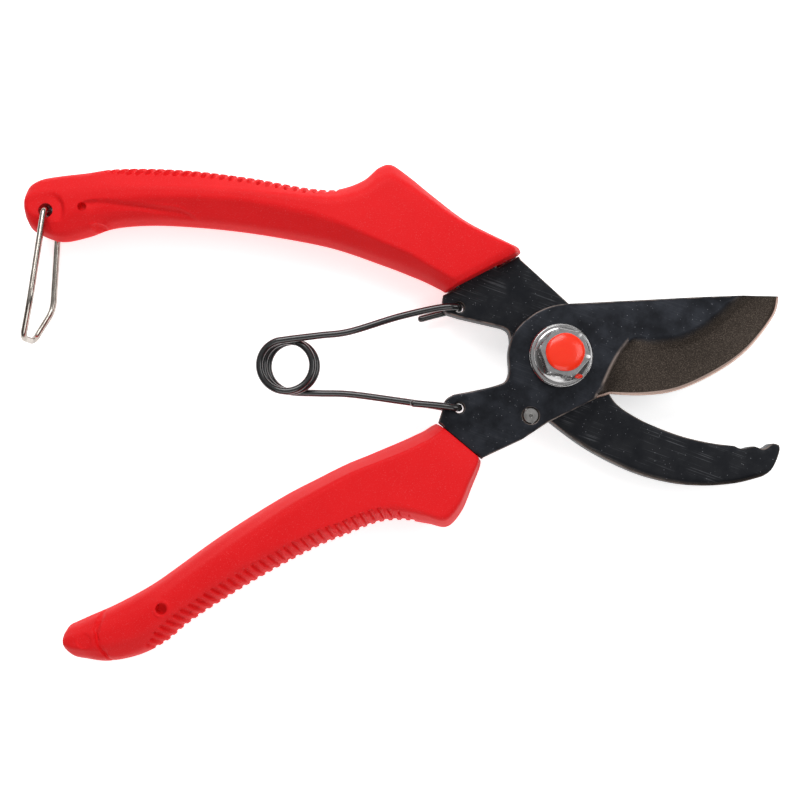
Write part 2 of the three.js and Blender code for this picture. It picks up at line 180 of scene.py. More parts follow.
def within(points: np.ndarray, loop: np.ndarray) -> np.ndarray:
    """Which points lie inside a closed loop, by the even-odd rule.

    Args:
        points: Rows of x, y.
        loop: The loop's points, without a closing copy of the first.

    Returns:
        True for each point inside.
    """
    start, end = loop, np.roll(loop, -1, axis=0)
    found = []
    for some in np.array_split(points, max(len(points) // 3000, 1)):
        x, y = some[:, :1], some[:, 1:2]
        rise = np.where(end[:, 1] == start[:, 1], 1e-12, end[:, 1] - start[:, 1])
        spans = (start[:, 1] > y) != (end[:, 1] > y)
        at = start[:, 0] + (y - start[:, 1]) * (end[:, 0] - start[:, 0]) / rise
        found.append((spans & (x < at)).sum(axis=1) % 2 == 1)
    return np.concatenate(found)


def distance(points: np.ndarray, line: np.ndarray) -> np.ndarray:
    """Distance from each point to an open line.

    Args:
        points: Rows of x, y.
        line: The line's points in order.

    Returns:
        One distance for each point.
    """
    start, step = line[:-1], np.diff(line, axis=0)
    square = np.maximum((step**2).sum(axis=1), 1e-12)
    found = []
    for some in np.array_split(points, max(len(points) // 2000, 1)):
        gap = some[:, None, :] - start[None]
        t = np.clip((gap * step).sum(axis=2) / square, 0, 1)
        found.append(np.linalg.norm(gap - t[..., None] * step, axis=2).min(axis=1))
    return np.concatenate(found)


def closed(loop: np.ndarray) -> np.ndarray:
    """A loop with its first point again at the end."""
    return np.vstack([loop, loop[:1]])


def bend(start: np.ndarray, corner: np.ndarray, end: np.ndarray, t: np.ndarray) -> np.ndarray:
    """A parabola between two points, drawn towards a corner: its points at each t of 0 to 1."""
    return (1 - t) ** 2 * start + 2 * t * (1 - t) * corner + t**2 * end


def smooth(low: float, high: float, value: np.ndarray) -> np.ndarray:
    """0 below low, 1 above high, and an S-curve between them (the other way round if low > high)."""
    t = np.clip((value - low) / (high - low), 0, 1)
    return t * t * (3 - 2 * t)


# ---- meshes ----------------------------------------------------------------------------------------


def make_mesh(
    name: str,
    points: np.ndarray,
    faces: Sequence[np.ndarray],
    marks: dict[str, np.ndarray] | None = None,
    crease: float = 35,
) -> bpy.types.Object:
    """An object at the origin from points in millimetres.

    Args:
        name: Its name.
        points: Rows of x, y, z.
        faces: Arrays of equal-sided faces, as rows of point numbers.
        marks: Numbers for each point, kept as named attributes.
        crease: Angle in degrees above which an edge stays sharp.

    Returns:
        The new object, linked to the scene.
    """
    mesh = bpy.data.meshes.new(name)
    corners = np.concatenate([f.ravel() for f in faces]).astype(np.int32)
    sizes = np.concatenate([np.full(len(f), f.shape[1]) for f in faces]).astype(np.int32)
    mesh.vertices.add(len(points))
    mesh.vertices.foreach_set("co", (np.asarray(points, np.float64) * MM).astype(np.float32).ravel())
    mesh.loops.add(len(corners))
    mesh.loops.foreach_set("vertex_index", corners)
    mesh.polygons.add(len(sizes))
    mesh.polygons.foreach_set("loop_start", np.concatenate([[0], np.cumsum(sizes)[:-1]]).astype(np.int32))
    for key, values in (marks or {}).items():
        mark = mesh.attributes.new(key, "FLOAT", "POINT")
        mark.data.foreach_set("value", np.asarray(values, np.float32))
    mesh.update(calc_edges=True)
    mesh.validate()
    mesh.shade_smooth()
    mesh.set_sharp_from_angle(angle=np.radians(crease))
    piece = bpy.data.objects.new(name, mesh)
    bpy.context.scene.collection.objects.link(piece)
    return piece


def skin(
    name: str,
    rings: np.ndarray,
    marks: dict[str, np.ndarray] | None = None,
    ring_closed: bool = False,
    crease: float = 35,
) -> bpy.types.Object:
    """A closed skin over a grid of points that goes round along its second axis.

    Args:
        name: The object's name.
        rings: Points, as rings by places round each ring.
        marks: Numbers for each point, of the grid's shape.
        ring_closed: Whether the last ring joins the first one; otherwise each end is shut by a fan.
        crease: Angle above which an edge stays sharp.

    Returns:
        The new object, its faces turned outwards.
    """
    count, around = rings.shape[:2]
    number = np.arange(count * around).reshape(count, around)
    low, high = (number, np.roll(number, -1, axis=0)) if ring_closed else (number[:-1], number[1:])
    quads = np.stack([low, np.roll(low, -1, axis=1), np.roll(high, -1, axis=1), high], axis=-1)
    points, faces = rings.reshape(-1, 3), [quads.reshape(-1, 4)]
    given = {key: np.asarray(v, float).ravel() for key, v in (marks or {}).items()}
    if not ring_closed:
        poles = rings[[0, -1]].mean(axis=1)
        first = np.stack([np.roll(number[0], -1), number[0], np.full(around, len(points))], axis=1)
        last = np.stack([number[-1], np.roll(number[-1], -1), np.full(around, len(points) + 1)], axis=1)
        points = np.vstack([points, poles])
        faces += [first, last]
        given = {k: np.concatenate([v, [v[:around].mean(), v[-around:].mean()]]) for k, v in given.items()}
    corners = points[np.vstack([faces[0][:, :3], faces[0][:, [0, 2, 3]], *faces[1:]])]
    volume = np.einsum("ij,ij->i", corners[:, 0], np.cross(corners[:, 1], corners[:, 2])).sum()
    if volume < 0:
        faces = [f[:, ::-1] for f in faces]
    return make_mesh(name, points, faces, given, crease)


def revolve(
    name: str, profile: Sequence, centre: Sequence[float] = (0, 0), sides: int = 96
) -> bpy.types.Object:
    """A turned piece about Z: a point is (radius cos a, radius sin a, height) for an angle a all round.

    Args:
        name: The object's name.
        profile: Rows of radius and height, from end to end, that stop short of the axis.
        centre: X and Y of the axis.
        sides: Points round the piece.

    Returns:
        The piece, shut at both ends.
    """
    profile = np.asarray(profile, float)
    turn = np.linspace(0, 2 * np.pi, sides, endpoint=False)
    x = centre[0] + profile[:, :1] * np.cos(turn)
    y = centre[1] + profile[:, :1] * np.sin(turn)
    z = np.broadcast_to(profile[:, 1:2], x.shape)
    return skin(name, np.stack([x, y, z], axis=-1))


def softened(profile: Sequence, radius: float | Sequence[float], steps: int = 5) -> np.ndarray:
    """An open line with its corners rounded: each is cut back and joined again by a parabola.

    Args:
        profile: Rows of points.
        radius: How far the corners are cut back, at the most; one number, or one for each corner.
        steps: Points on each parabola.

    Returns:
        The new rows.
    """
    keys = np.asarray(profile, float)
    rows = [keys[:1]]
    t = np.linspace(0, 1, steps)[:, None]
    most = np.broadcast_to(radius, len(keys) - 2)
    for before, here, after, far in zip(keys[:-2], keys[1:-1], keys[2:], most):
        back, on = np.linalg.norm(before - here), np.linalg.norm(after - here)
        cut = min(far, 0.45 * back, 0.45 * on)
        start = here + (before - here) / back * cut
        end = here + (after - here) / on * cut
        rows.append(bend(start, here, end, t))
    return np.vstack([*rows, keys[-1:]])


def tube(
    name: str, path: np.ndarray, radius: float, upright: Sequence[float], sides: int = 20
) -> bpy.types.Object:
    """A round wire with domed ends: circles of the radius, square to the path.

    Args:
        name: The object's name.
        path: Points along the wire's middle, evenly spaced.
        radius: The wire's radius.
        upright: A direction that the path never runs along; it fixes where each circle starts.
        sides: Points round each circle.

    Returns:
        The wire.
    """
    dome = radius * (1 - np.cos(np.linspace(0.15, 1, 6) * np.pi / 2))
    ends = [unit(path[0] - path[1]), unit(path[-1] - path[-2])]
    first = path[0] + ends[0] * (radius - dome)[:, None]
    last = (path[-1] + ends[1] * (radius - dome)[:, None])[::-1]
    line = np.vstack([first, path, last])
    shrink = np.sqrt(np.maximum(radius**2 - (radius - dome) ** 2, 0)) / radius
    scale = np.concatenate([shrink, np.ones(len(path)), shrink[::-1]])
    forward = np.gradient(line, axis=0)
    forward[: len(dome) + 1] = -ends[0]
    forward[-len(dome) - 1 :] = ends[1]
    forward = unit(forward)
    side = unit(np.asarray(upright, float) - (forward @ np.asarray(upright, float))[:, None] * forward)
    other = np.cross(forward, side)
    turn = np.linspace(0, 2 * np.pi, sides, endpoint=False)
    ring = np.cos(turn)[None, :, None] * side[:, None] + np.sin(turn)[None, :, None] * other[:, None]
    rings = line[:, None] + radius * scale[:, None, None] * ring
    return skin(name, rings)


def slab(name: str, loop: np.ndarray, low: float, high: float) -> bpy.types.Object:
    """A flat shape made thick.

    Args:
        name: The object's name.
        loop: Its outline, anticlockwise.
        low: Height of its underside.
        high: Height of its top.

    Returns:
        The shape, closed.
    """
    count = len(loop)
    number = np.arange(count)
    points = np.vstack([np.column_stack([loop, np.full(count, z)]) for z in (low, high)])
    after = np.roll(number, -1)
    sides = np.stack([number, after, after + count, number + count], axis=1)
    return make_mesh(name, points, [number[None, ::-1], number[None] + count, sides])


def carve(piece: bpy.types.Object, *tools: bpy.types.Object) -> bpy.types.Object:
    """Cuts the tools' shapes out of a piece and removes the tools.

    Args:
        piece: What is cut.
        tools: Closed shapes.

    Returns:
        The same piece, with its new mesh.
    """
    for tool in tools:
        cut = piece.modifiers.new("carve", "BOOLEAN")
        cut.operation = "DIFFERENCE"
        cut.solver = "EXACT"
        cut.object = tool
    seen = bpy.context.evaluated_depsgraph_get()
    bpy.context.view_layer.update()
    cut_mesh = bpy.data.meshes.new_from_object(piece.evaluated_get(seen))
    piece.modifiers.clear()
    whole, piece.data = piece.data, cut_mesh
    cut_mesh.name = piece.name
    bpy.data.meshes.remove(whole)
    cut_mesh.shade_smooth()
    cut_mesh.set_sharp_from_angle(angle=np.radians(CARVED_CREASE))
    for tool in tools:
        bpy.data.objects.remove(tool)
    return piece


# ---- finishes --------------------------------------------------------------------------------------


class Amount:
    """A number that varies over a surface: a socket with arithmetic."""

    def __init__(self, paint: "Paint", socket: bpy.types.NodeSocket) -> None:
        """An amount in a paint's node tree."""
        self.paint = paint
        self.socket = socket

    def _with(self, operation: str, *values: Any) -> "Amount":
        """A Math node of the values."""
        settings = {"operation": operation}
        return Amount(self.paint, self.paint.node("ShaderNodeMath", settings, dict(enumerate(values))))

    def __add__(self, other: Any) -> "Amount":
        """Sum."""
        return self._with("ADD", self, other)

    __radd__ = __add__

    def __sub__(self, other: Any) -> "Amount":
        """Difference."""
        return self._with("SUBTRACT", self, other)

    def __rsub__(self, other: Any) -> "Amount":
        """Difference, the other way round."""
        return self._with("SUBTRACT", other, self)

    def __mul__(self, other: Any) -> "Amount":
        """Product."""
        return self._with("MULTIPLY", self, other)

    __rmul__ = __mul__

    def __truediv__(self, other: Any) -> "Amount":
        """Quotient."""
        return self._with("DIVIDE", self, other)

    def wave(self) -> "Amount":
        """Sine."""
        return self._with("SINE", self)

    def root(self) -> "Amount":
        """Square root."""
        return self._with("SQRT", self)

    def at_most(self, other: Any) -> "Amount":
        """The lesser of the two."""
        return self._with("MINIMUM", self, other)

    def ease(self, low: float, high: float) -> "Amount":
        """0 at low and 1 at high, with an S-curve between them."""
        settings = {"interpolation_type": "SMOOTHSTEP"}
        values = {"Value": self, "From Min": low, "From Max": high}
        return Amount(self.paint, self.paint.node("ShaderNodeMapRange", settings, values, "Result"))


class Paint:
    """A material in the making."""

    def __init__(self, name: str, room: bpy.types.World | None = None) -> None:
        """A new material of a name, or the nodes of the world given as room."""
        self.material = room or bpy.data.materials.new(name)
        self.material.use_nodes = True
        self.tree = self.material.node_tree
        self.tree.nodes.clear()
        self.place = self.node("ShaderNodeTexCoord", {}, {}, "Generated" if room else "Object")

    def node(self, kind: str, settings: dict, values: dict, output: Any = 0) -> bpy.types.NodeSocket:
        """One node.

        Args:
            kind: The node's type.
            settings: Properties, set first.
            values: Inputs by name or number: sockets, amounts or plain values.
            output: Which output to return.

        Returns:
            The output socket.
        """
        made = self.tree.nodes.new(kind)
        for key, value in settings.items():
            setattr(made, key, value)
        for key, value in values.items():
            value = value.socket if isinstance(value, Amount) else value
            if isinstance(value, bpy.types.NodeSocket):
                self.tree.links.new(value, made.inputs[key])
            else:
                made.inputs[key].default_value = value
        return made.outputs[output]

    def mark(self, name: str) -> Amount:
        """A number kept on the mesh's points."""
        return Amount(self, self.node("ShaderNodeAttribute", {"attribute_name": name}, {}, "Fac"))

    def axis(self, number: int) -> Amount:
        """One coordinate of the surface, in millimetres."""
        split = self.node("ShaderNodeSeparateXYZ", {}, {0: self.place}, number)
        return Amount(self, split) * 1000

    def noise(
        self,
        size: float,
        detail: float = 3,
        rough: float = 0.5,
        stretch: Sequence = (1, 1, 1),
        turn: float = 0,
    ) -> Amount:
        """Cloudy noise, 0 to 1.

        Args:
            size: Feature size in millimetres.
            detail: Octaves.
            rough: Weight of the fine octaves.
            stretch: Scale along X, Y and Z, after the turn.
            turn: Turn about Z in degrees.

        Returns:
            The noise.
        """
        turned = {"Vector": self.place, "Rotation": (0, 0, np.radians(turn))}
        place = self.node("ShaderNodeMapping", {}, turned)
        place = self.node("ShaderNodeMapping", {}, {"Vector": place, "Scale": tuple(stretch)})
        values = {"Vector": place, "Scale": 1 / (size * MM), "Detail": detail, "Roughness": rough}
        return Amount(self, self.node("ShaderNodeTexNoise", {}, values, 0))

    def cells(self, size: float) -> Amount:
        """Distance to the nearest of scattered points, in cells."""
        values = {"Vector": self.place, "Scale": 1 / (size * MM)}
        return Amount(self, self.node("ShaderNodeTexVoronoi", {"feature": "F1"}, values, "Distance"))

    def blend(self, low: Any, high: Any, amount: Any) -> bpy.types.NodeSocket:
        """A colour between two, by an amount of 0 to 1."""
        values = {0: amount, 6: colour(low), 7: colour(high)}
        return self.node("ShaderNodeMix", {"data_type": "RGBA"}, values, 2)

    def bump(self, height: Amount, depth: float, strength: float = 1.0) -> bpy.types.NodeSocket:
        """A normal from a height of 0 to 1 that stands for a depth in millimetres."""
        values = {"Height": height, "Distance": depth * MM, "Strength": strength}
        return self.node("ShaderNodeBump", {}, values, "Normal")

    def surface(self, **values: Any) -> bpy.types.Material:
        """Ends the material in one shader; names are the shader's sockets with _ for a space."""
        named = {key.replace("_", " "): value for key, value in values.items()}
        shader = self.node("ShaderNodeBsdfPrincipled", {}, named, "BSDF")
        ending = self.tree.nodes.new("ShaderNodeOutputMaterial")
        self.tree.links.new(shader, ending.inputs["Surface"])
        return self.material


def colour(value: Any) -> Any:
    """Red, green and blue with full alpha; a socket goes through unchanged."""
    return (*value, 1.0) if isinstance(value, (tuple, list)) and len(value) == 3 else value


@dataclass(frozen=True)
class RedPlastic:
    """Moulded grip plastic: saturated red with a fine eroded grain, faint flow clouds and paler flecks on the
    grain that paint its speckled sheen.
    """

    deep: tuple = (0.78, 0.007, 0.010)
    bright: tuple = (0.88, 0.013, 0.016)
    # paler pink for the grain's peaks: a painted speckle of highlights
    fleck: tuple = (0.86, 0.12, 0.13)
    grain: float = 0.22  # size of the grain in millimetres

    def make(self) -> bpy.types.Material:
        """The material."""
        paint = Paint("red_plastic")
        grain = paint.noise(self.grain, 1)
        cloud = paint.noise(11, 3, 0.6)
        tint = paint.blend(self.deep, self.bright, cloud)
        # paler flecks on the grain: painted sheen
        tint = paint.blend(tint, self.fleck, grain.ease(0.58, 0.80) * 0.45)
        rough = 0.46 + cloud * 0.08 + grain * 0.06
        normal = paint.bump(grain, 0.03, 0.7)
        return paint.surface(Base_Color=tint, Roughness=rough, Normal=normal, Specular_IOR_Level=0.14)


@dataclass(frozen=True)
class BluedSteel:
    """Phosphated plate steel: blue-black with pale pin-point flecks, worn bare along its edges, and a painted
    highlight along the cutting blade's step near the pivot.
    """

    base: tuple = (0.010, 0.011, 0.014)
    cloudy: tuple = (0.030, 0.033, 0.041)
    fleck: tuple = (0.34, 0.35, 0.38)
    # colour of the worn edges, also used to paint the highlight along the blade's step
    rubbed_and_step_highlight: tuple = (0.34, 0.27, 0.235)
    ground: tuple = (0.045, 0.035, 0.028)
    ground_light: tuple = (0.22, 0.175, 0.145)
    keen: tuple = (0.74, 0.56, 0.49)
    name: str = "blued_steel"
    scratch_turn: float = 20.0  # direction of the scratches, in degrees from X
    scratched: float = 0.06

    def make(self) -> bpy.types.Material:
        """The material."""
        paint = Paint(self.name)
        rim, ground, keen = (paint.mark(key) for key in ("rim", "ground", "keen"))
        cloud = paint.noise(5, 4, 0.6)
        fine = paint.noise(0.12, 2)
        lines = paint.noise(0.2, 1, 0.5, (0.012, 1, 0.3), self.scratch_turn).ease(0.60, 0.70)
        lines = lines * paint.noise(5, 3).ease(0.40, 0.65)
        fleck = paint.cells(0.75).ease(0.15, 0.06) * paint.noise(1.3, 2).ease(0.46, 0.6)
        # worn edges along the rim mark, which near the pivot also paints a highlight along the step's brow
        wear_and_step_highlight = rim.ease(0.42, 0.1) * rim.ease(0.0, 0.06) * (paint.noise(3.5, 3).ease(0.36, 0.60) * 0.8 + 0.2)
        plain = paint.blend(self.base, self.cloudy, cloud.ease(0.25, 0.75))
        plain = paint.blend(plain, self.fleck, (fleck + lines * self.scratched).at_most(1) * 0.7)
        plain = paint.blend(plain, self.rubbed_and_step_highlight, wear_and_step_highlight * 0.7)
        grit = paint.noise(0.26, 3, 0.75).ease(0.42, 0.80)
        stone = paint.blend(self.ground, self.ground_light, grit)
        stone = paint.blend(stone, self.keen, keen.ease(1.08, 0.92) * (0.75 + grit * 0.25))
        tint = paint.blend(plain, stone, ground)
        rough = 0.38 + fine * 0.14 - fleck * 0.1 + ground * 0.08
        bump = paint.bump(fine * 0.6 + grit * ground * 0.9, 0.012, 0.6)
        return paint.surface(Base_Color=tint, Metallic=0.85, Roughness=rough, Normal=bump)


@dataclass(frozen=True)
class BrightMetal:
    """Bare or plated metal with faint clouds and fine drawn or turned lines."""

    name: str
    light: tuple
    dark: tuple
    rough: float
    turned_at: tuple | None = None  # centre of the turning rings, in millimetres
    drawn: tuple = (1, 1, 1)

    def make(self) -> bpy.types.Material:
        """The material."""
        paint = Paint(self.name)
        cloud = paint.noise(2.5, 4, 0.6)
        fine = paint.noise(0.15, 2, 0.5, self.drawn)
        if self.turned_at:
            x = paint.axis(0) - self.turned_at[0]
            y = paint.axis(1) - self.turned_at[1]
            fine = ((x * x + y * y).root() * 22).wave() * 0.35 + fine * 0.5 + 0.2
        tint = paint.blend(self.dark, self.light, cloud.ease(0.3, 0.7) * 0.7 + fine * 0.3)
        normal = paint.bump(fine, 0.002, 0.25)
        return paint.surface(Base_Color=tint, Metallic=1.0, Roughness=self.rough + fine * 0.1, Normal=normal)


@dataclass(frozen=True)
class Lacquer:
    """Wet-looking locking lacquer."""

    base: tuple = (1.0, 0.042, 0.010)
    thick: tuple = (1.0, 0.026, 0.006)

    def make(self) -> bpy.types.Material:
        """The material."""
        paint = Paint("locking_lacquer")
        wave = paint.noise(2.4, 2)
        tint = paint.blend(self.base, self.thick, wave)
        normal = paint.bump(wave, 0.12, 0.4)
        return paint.surface(
            Base_Color=tint, Roughness=0.22, Coat_Weight=0.25, Normal=normal, Specular_IOR_Level=0.35
        )


@dataclass(frozen=True)
class SpringWire:
    """Oiled black spring wire with drawing lines along it."""

    base: tuple = (0.007, 0.007, 0.008)
    worn: tuple = (0.05, 0.042, 0.036)

    def make(self) -> bpy.types.Material:
        """The material."""
        paint = Paint("spring_wire")
        streak = paint.noise(0.5, 3, 0.6)
        tint = paint.blend(self.base, self.worn, streak.ease(0.55, 0.75) * 0.6)
        normal = paint.bump(streak, 0.01, 0.5)
        return paint.surface(Base_Color=tint, Roughness=0.14 + streak * 0.12, Coat_Weight=0.5, Normal=normal)


# ---- plates ----------------------------------------------------------------------------------------


def cut_loop(loop: np.ndarray, ahead: np.ndarray) -> np.ndarray:
    """The stretch of a loop where a number is above 0, with the crossing points at both ends.

    Args:
        loop: A closed loop that crosses 0 twice.
        ahead: The number at each point.

    Returns:
        The stretch, from the place where the number rises above 0 to where it falls below.
    """
    inside = ahead > 0
    start = int(np.flatnonzero(inside & ~np.roll(inside, 1))[0])
    loop, ahead, inside = (np.roll(a, -start, axis=0) for a in (loop, ahead, inside))
    count = int(np.flatnonzero(~inside)[0])

    def crossing(i: int, k: int) -> np.ndarray:
        """Where the number is 0 between two points."""
        share = ahead[i] / (ahead[i] - ahead[k])
        return loop[i] + (loop[k] - loop[i]) * share

    return np.vstack([crossing(0, -1), loop[:count], crossing(count - 1, count)])


def anticlockwise(loop: np.ndarray) -> np.ndarray:
    """The loop, turned round if it goes clockwise.

    Args:
        loop: The loop's points.

    Returns:
        The same points in anticlockwise order.
    """
    x, y = loop[:, 0], loop[:, 1]
    area = (x * np.roll(y, -1) - np.roll(x, -1) * y).sum()
    return loop if area > 0 else loop[::-1]


@dataclass
class Mouth:
    """The line where a plate goes into its grip."""

    inner: tuple
    outer: tuple
    gap: float = 0.3

    def forward(self) -> np.ndarray:
        """The direction square to the line, towards the pivot."""
        along = unit(np.subtract(self.outer, self.inner))
        out = np.array([along[1], -along[0]])
        return out if out @ self.inner < 0 else -out

    def ahead(self, points: np.ndarray) -> np.ndarray:
        """How far points are in front of the line, on the pivot's side, less the gap."""
        return (points - np.array(self.inner)) @ self.forward() - self.gap

    def line(self, behind: float) -> np.ndarray:
        """Points along the mouth, moved back by a distance."""
        return spaced(np.array([self.inner, self.outer], float), 0.4) - self.forward() * (behind - self.gap)


@dataclass
class Plate:
    """A flat forged lever: a stout plate that narrows and thins into a tang behind the grip's mouth."""

    name: str
    mouth: Mouth
    low: float
    high: float
    tang_low: float
    tang_high: float
    tang_middle: tuple
    tang_half: tuple
    rounding: float = 0.45
    ring_turns: tuple = (30, 60, 90)  # degrees round the edge's rounding at which the mesh has a row
    mesh_step: float = 0.85
    crease: float = 32

    def edge(self) -> np.ndarray:
        """The plate's outline, in front of the mouth and a little behind it."""
        raise NotImplementedError

    def holes(self) -> list[np.ndarray]:
        """Loops of the holes through it."""
        raise NotImplementedError

    def guides(self) -> list[np.ndarray]:
        """Rows of points that the mesh must follow."""
        return []

    def shape(self, at: np.ndarray, low: np.ndarray, high: np.ndarray, rim: np.ndarray) -> tuple:
        """Works the two faces, and marks them for the finish.

        Args:
            at: Rows of x, y.
            low: Height of the underside at each point.
            high: Height of the top.
            rim: Distance from the plate's edges.

        Returns:
            The new heights of the underside and the top, and marks as pairs for the top and the underside.
        """
        raise NotImplementedError

    def tang(self) -> np.ndarray:
        """The tang's outline: a strip of varying half width along its middle line."""
        place = np.linspace(0, len(self.tang_middle) - 1, 90)
        line = curve_at(self.tang_middle, place)
        half = np.interp(place, np.arange(len(self.tang_half)), self.tang_half)[:, None]
        right = right_of(line)
        return np.vstack([line - right * half, (line + right * half)[::-1]])

    def outline(self) -> np.ndarray:
        """The whole plate's outline: its edge in front of the mouth, its tang behind it."""
        edge, tang = anticlockwise(self.edge()), anticlockwise(self.tang())
        front = cut_loop(edge, self.mouth.ahead(edge))
        back = cut_loop(tang, -self.mouth.ahead(tang))
        return spaced(closed(np.vstack([front, back])), 0.4)[:-1]

    def filling(self, loops: list[np.ndarray]) -> np.ndarray:
        """Points inside the plate: rings that round its edges, the guide rows, and an even filling.

        Args:
            loops: The outline, then the holes.

        Returns:
            Rows of x, y, clear of the loops.
        """
        outline, lines = loops[0], [closed(loop) for loop in loops]
        rings = []
        for number, loop in enumerate(loops):
            inwards = -right_of_loop(loop) * (1 if number == 0 else -1)
            rings += [loop + inwards * self.rounding * (1 - np.cos(a)) for a in np.radians(self.ring_turns)]
        low, high = outline.min(axis=0), outline.max(axis=0)
        across = np.arange(low[0], high[0], self.mesh_step)
        up = np.arange(low[1], high[1], self.mesh_step * 0.87)
        x, y = np.meshgrid(across, up)
        x[1::2] += self.mesh_step / 2
        even = np.stack([x.ravel(), y.ravel()], axis=1)
        rows = [*self.guides(), self.mouth.line(0), self.mouth.line(0.2)]
        kept = []
        for points, least in ((np.vstack([*rings, *rows]), 0.04), (even, self.rounding * 1.6)):
            points = points[within(points, outline)]
            rim = np.min([distance(points, line) for line in lines], axis=0)
            kept.append(points[rim > least])
        return np.vstack([kept[0], kept[1][distance(kept[1], rows[0]) > 0.3]])

    def face(self, loops: list[np.ndarray]) -> tuple[np.ndarray, np.ndarray]:
        """The plate seen from above, as points and triangles that follow its loops.

        Args:
            loops: The outline, then the holes.

        Returns:
            Rows of x, y, and rows of three point numbers.
        """
        joins, start = [], 0
        for loop in loops:
            index = np.arange(start, start + len(loop))
            joins += list(zip(index.tolist(), np.roll(index, -1).tolist()))
            start += len(loop)
        given = [Vector(p) for p in np.vstack([*loops, self.filling(loops)])]
        found, _, faces, *_ = delaunay_2d_cdt(given, joins, [], 0, 1e-4)
        at, tri = np.array([p[:] for p in found]), np.array(faces)
        middle = at[tri].mean(axis=1)
        inside = within(middle, loops[0])
        for hole in loops[1:]:
            inside &= ~within(middle, hole)
        return at, tri[inside]

    def build(self) -> bpy.types.Object:
        """The plate as one closed mesh: two faces over the same points, joined by a wall."""
        loops = [self.outline(), *self.holes()]
        at, tri = self.face(loops)
        rim = np.min([distance(at, closed(loop)) for loop in loops], axis=0)
        behind = smooth(0.0, -0.2, self.mouth.ahead(at))
        top = self.high + (self.tang_high - self.high) * behind
        bottom = self.low + (self.tang_low - self.low) * behind
        r = self.rounding
        round_off = r - np.sqrt(np.maximum(r**2 - np.maximum(r - rim, 0) ** 2, 0))
        bottom, top, marks = self.shape(at, bottom + round_off, top - round_off, rim)
        points = np.vstack([np.column_stack([at, top]), np.column_stack([at, bottom])])
        count = len(at)
        edges = np.vstack([tri[:, [0, 1]], tri[:, [1, 2]], tri[:, [2, 0]]])
        there, back = edges @ [count, 1], edges @ [1, count]
        wall = edges[~np.isin(there, back)]
        walls = np.stack([wall[:, 0] + count, wall[:, 1] + count, wall[:, 1], wall[:, 0]], axis=1)
        marks = {key: np.concatenate(both) for key, both in marks.items()}
        return make_mesh(self.name, points, [tri, tri[:, ::-1] + count, walls], marks, self.crease)


@dataclass
class CounterBlade(Plate):
    """The hooked lever: bolt hole, spring hole and the blunt hook that the stem rests in."""

    name: str = "counter_blade"
    mouth: Mouth = field(default_factory=lambda: Mouth((-28.5, 16.3), (-9.4, 26.3)))
    low: float = 3.4
    high: float = 8.4
    tang_low: float = 4.9
    tang_high: float = 8.4
    tang_middle: tuple = ((-16.5, 20.2), (-32, 26.5), (-60, 35.2), (-95, 40.4), (-118, 38.9), (-130.6, 36.6))
    tang_half: tuple = (5.6, 5.2, 4.2, 4.0, 4.0, 3.2)
    spring_hole: tuple = (-24.8, 12.7)
    spring_hole_r: float = 1.25
    square: float = 3.8  # half the bolt's square hole
    chamfer: float = 0.9  # width of the hook's ground outer edge
    chamfer_fall: float = 0.5
    chamfer_row: float = 0.3  # distance between the mesh's rows at the chamfer's foot
    hollow_line: tuple = (0.07, 0.22)  # depth and half width of the line at the chamfer's foot
    belly: tuple = (
        (14.9, -11.9), (20.2, -15.4), (26.0, -18.0), (31.5, -19.9), (38.2, -21.4), (43.9, -22.1),
    )
    notches: tuple = ((45.6, -22.8), (48.6, -22.2), (51.1, -22.8), (53.4, -21.5), (55.0, -21.9))
    back_of_hook: tuple = (
        (50.7, -29.7), (43.9, -31.4), (35.1, -32.0), (27.7, -31.2), (18.9, -28.7), (7.3, -22.9),
        (-2.0, -16.1),
    )

    def edge(self) -> np.ndarray:
        """The plate's outline."""
        return trace(
            (-10.6, 27.6),
            (Run.STRAIGHT, [(-9.1, 24.9), (2.9, 13.7)]),
            (Run.CURVED, [(8.8, 9.0), (12.0, 2.4), (11.6, -4.6), (12.8, -9.1)]),
            (Run.CURVED, self.belly),
            (Run.CURVED, self.notches),
            (Run.CURVED, [(55.2, -22.9), (53.1, -27.9), (50.7, -29.7)]),
            (Run.CURVED, [*self.back_of_hook[1:], (-4.9, -13.7)]),
            (Run.CURVED, [(-9.7, -7.4), (-12.2, -1.0), (-11.9, 4.0), (-12.5, 6.8), (-14.5, 7.9)]),
            (Run.STRAIGHT, [(-24.8, 10.3), (-27.7, 11.2)]),
            (Run.CURVED, [(-28.9, 12.6), (-28.3, 18.2)]),
            (Run.STRAIGHT, [(-10.6, 27.6)]),
        )

    def holes(self) -> list[np.ndarray]:
        """The bolt's square hole, the spring's hole and the catch's hinge hole."""
        s = self.square
        square = spaced(np.array([(-s, -s), (s, -s), (s, s), (-s, s), (-s, -s)], float), s / 8)[:-1]
        return [square, circle(self.spring_hole, self.spring_hole_r, 30), circle((-127.8, 36.3), 1.9, 30)]

    def guides(self) -> list[np.ndarray]:
        """The foot of the hook's ground edge."""
        back = swept(self.back_of_hook, 160)
        inwards, row = right_of(back), self.chamfer_row
        return [back + inwards * (self.chamfer + more) for more in (0, row, -row)]

    def shape(self, at: np.ndarray, low: np.ndarray, high: np.ndarray, rim: np.ndarray) -> tuple:
        """A ground edge on the hook's back, and a shallow hollow line just inside it.

        Args:
            at: Rows of x, y.
            low: Height of the underside at each point.
            high: Height of the top.
            rim: Distance from the plate's edges.

        Returns:
            As in Plate.
        """
        reach = distance(at, swept(self.back_of_hook, 160))
        onset = smooth(-1.0, 6.0, at[:, 0])
        slope = self.high - self.chamfer_fall * np.clip(1 - reach / self.chamfer, 0, 1) * onset
        depth, half = self.hollow_line
        line = depth * np.exp(-(((reach - self.chamfer) / half) ** 2)) * onset
        none = np.zeros(len(at))
        bare = smooth(self.chamfer, self.chamfer - 0.3, reach) * onset * 0.35
        marks = {"rim": (rim, rim), "ground": (bare, none), "keen": (none + FAR, none + FAR)}
        return low, np.minimum(high, slope) - line, marks


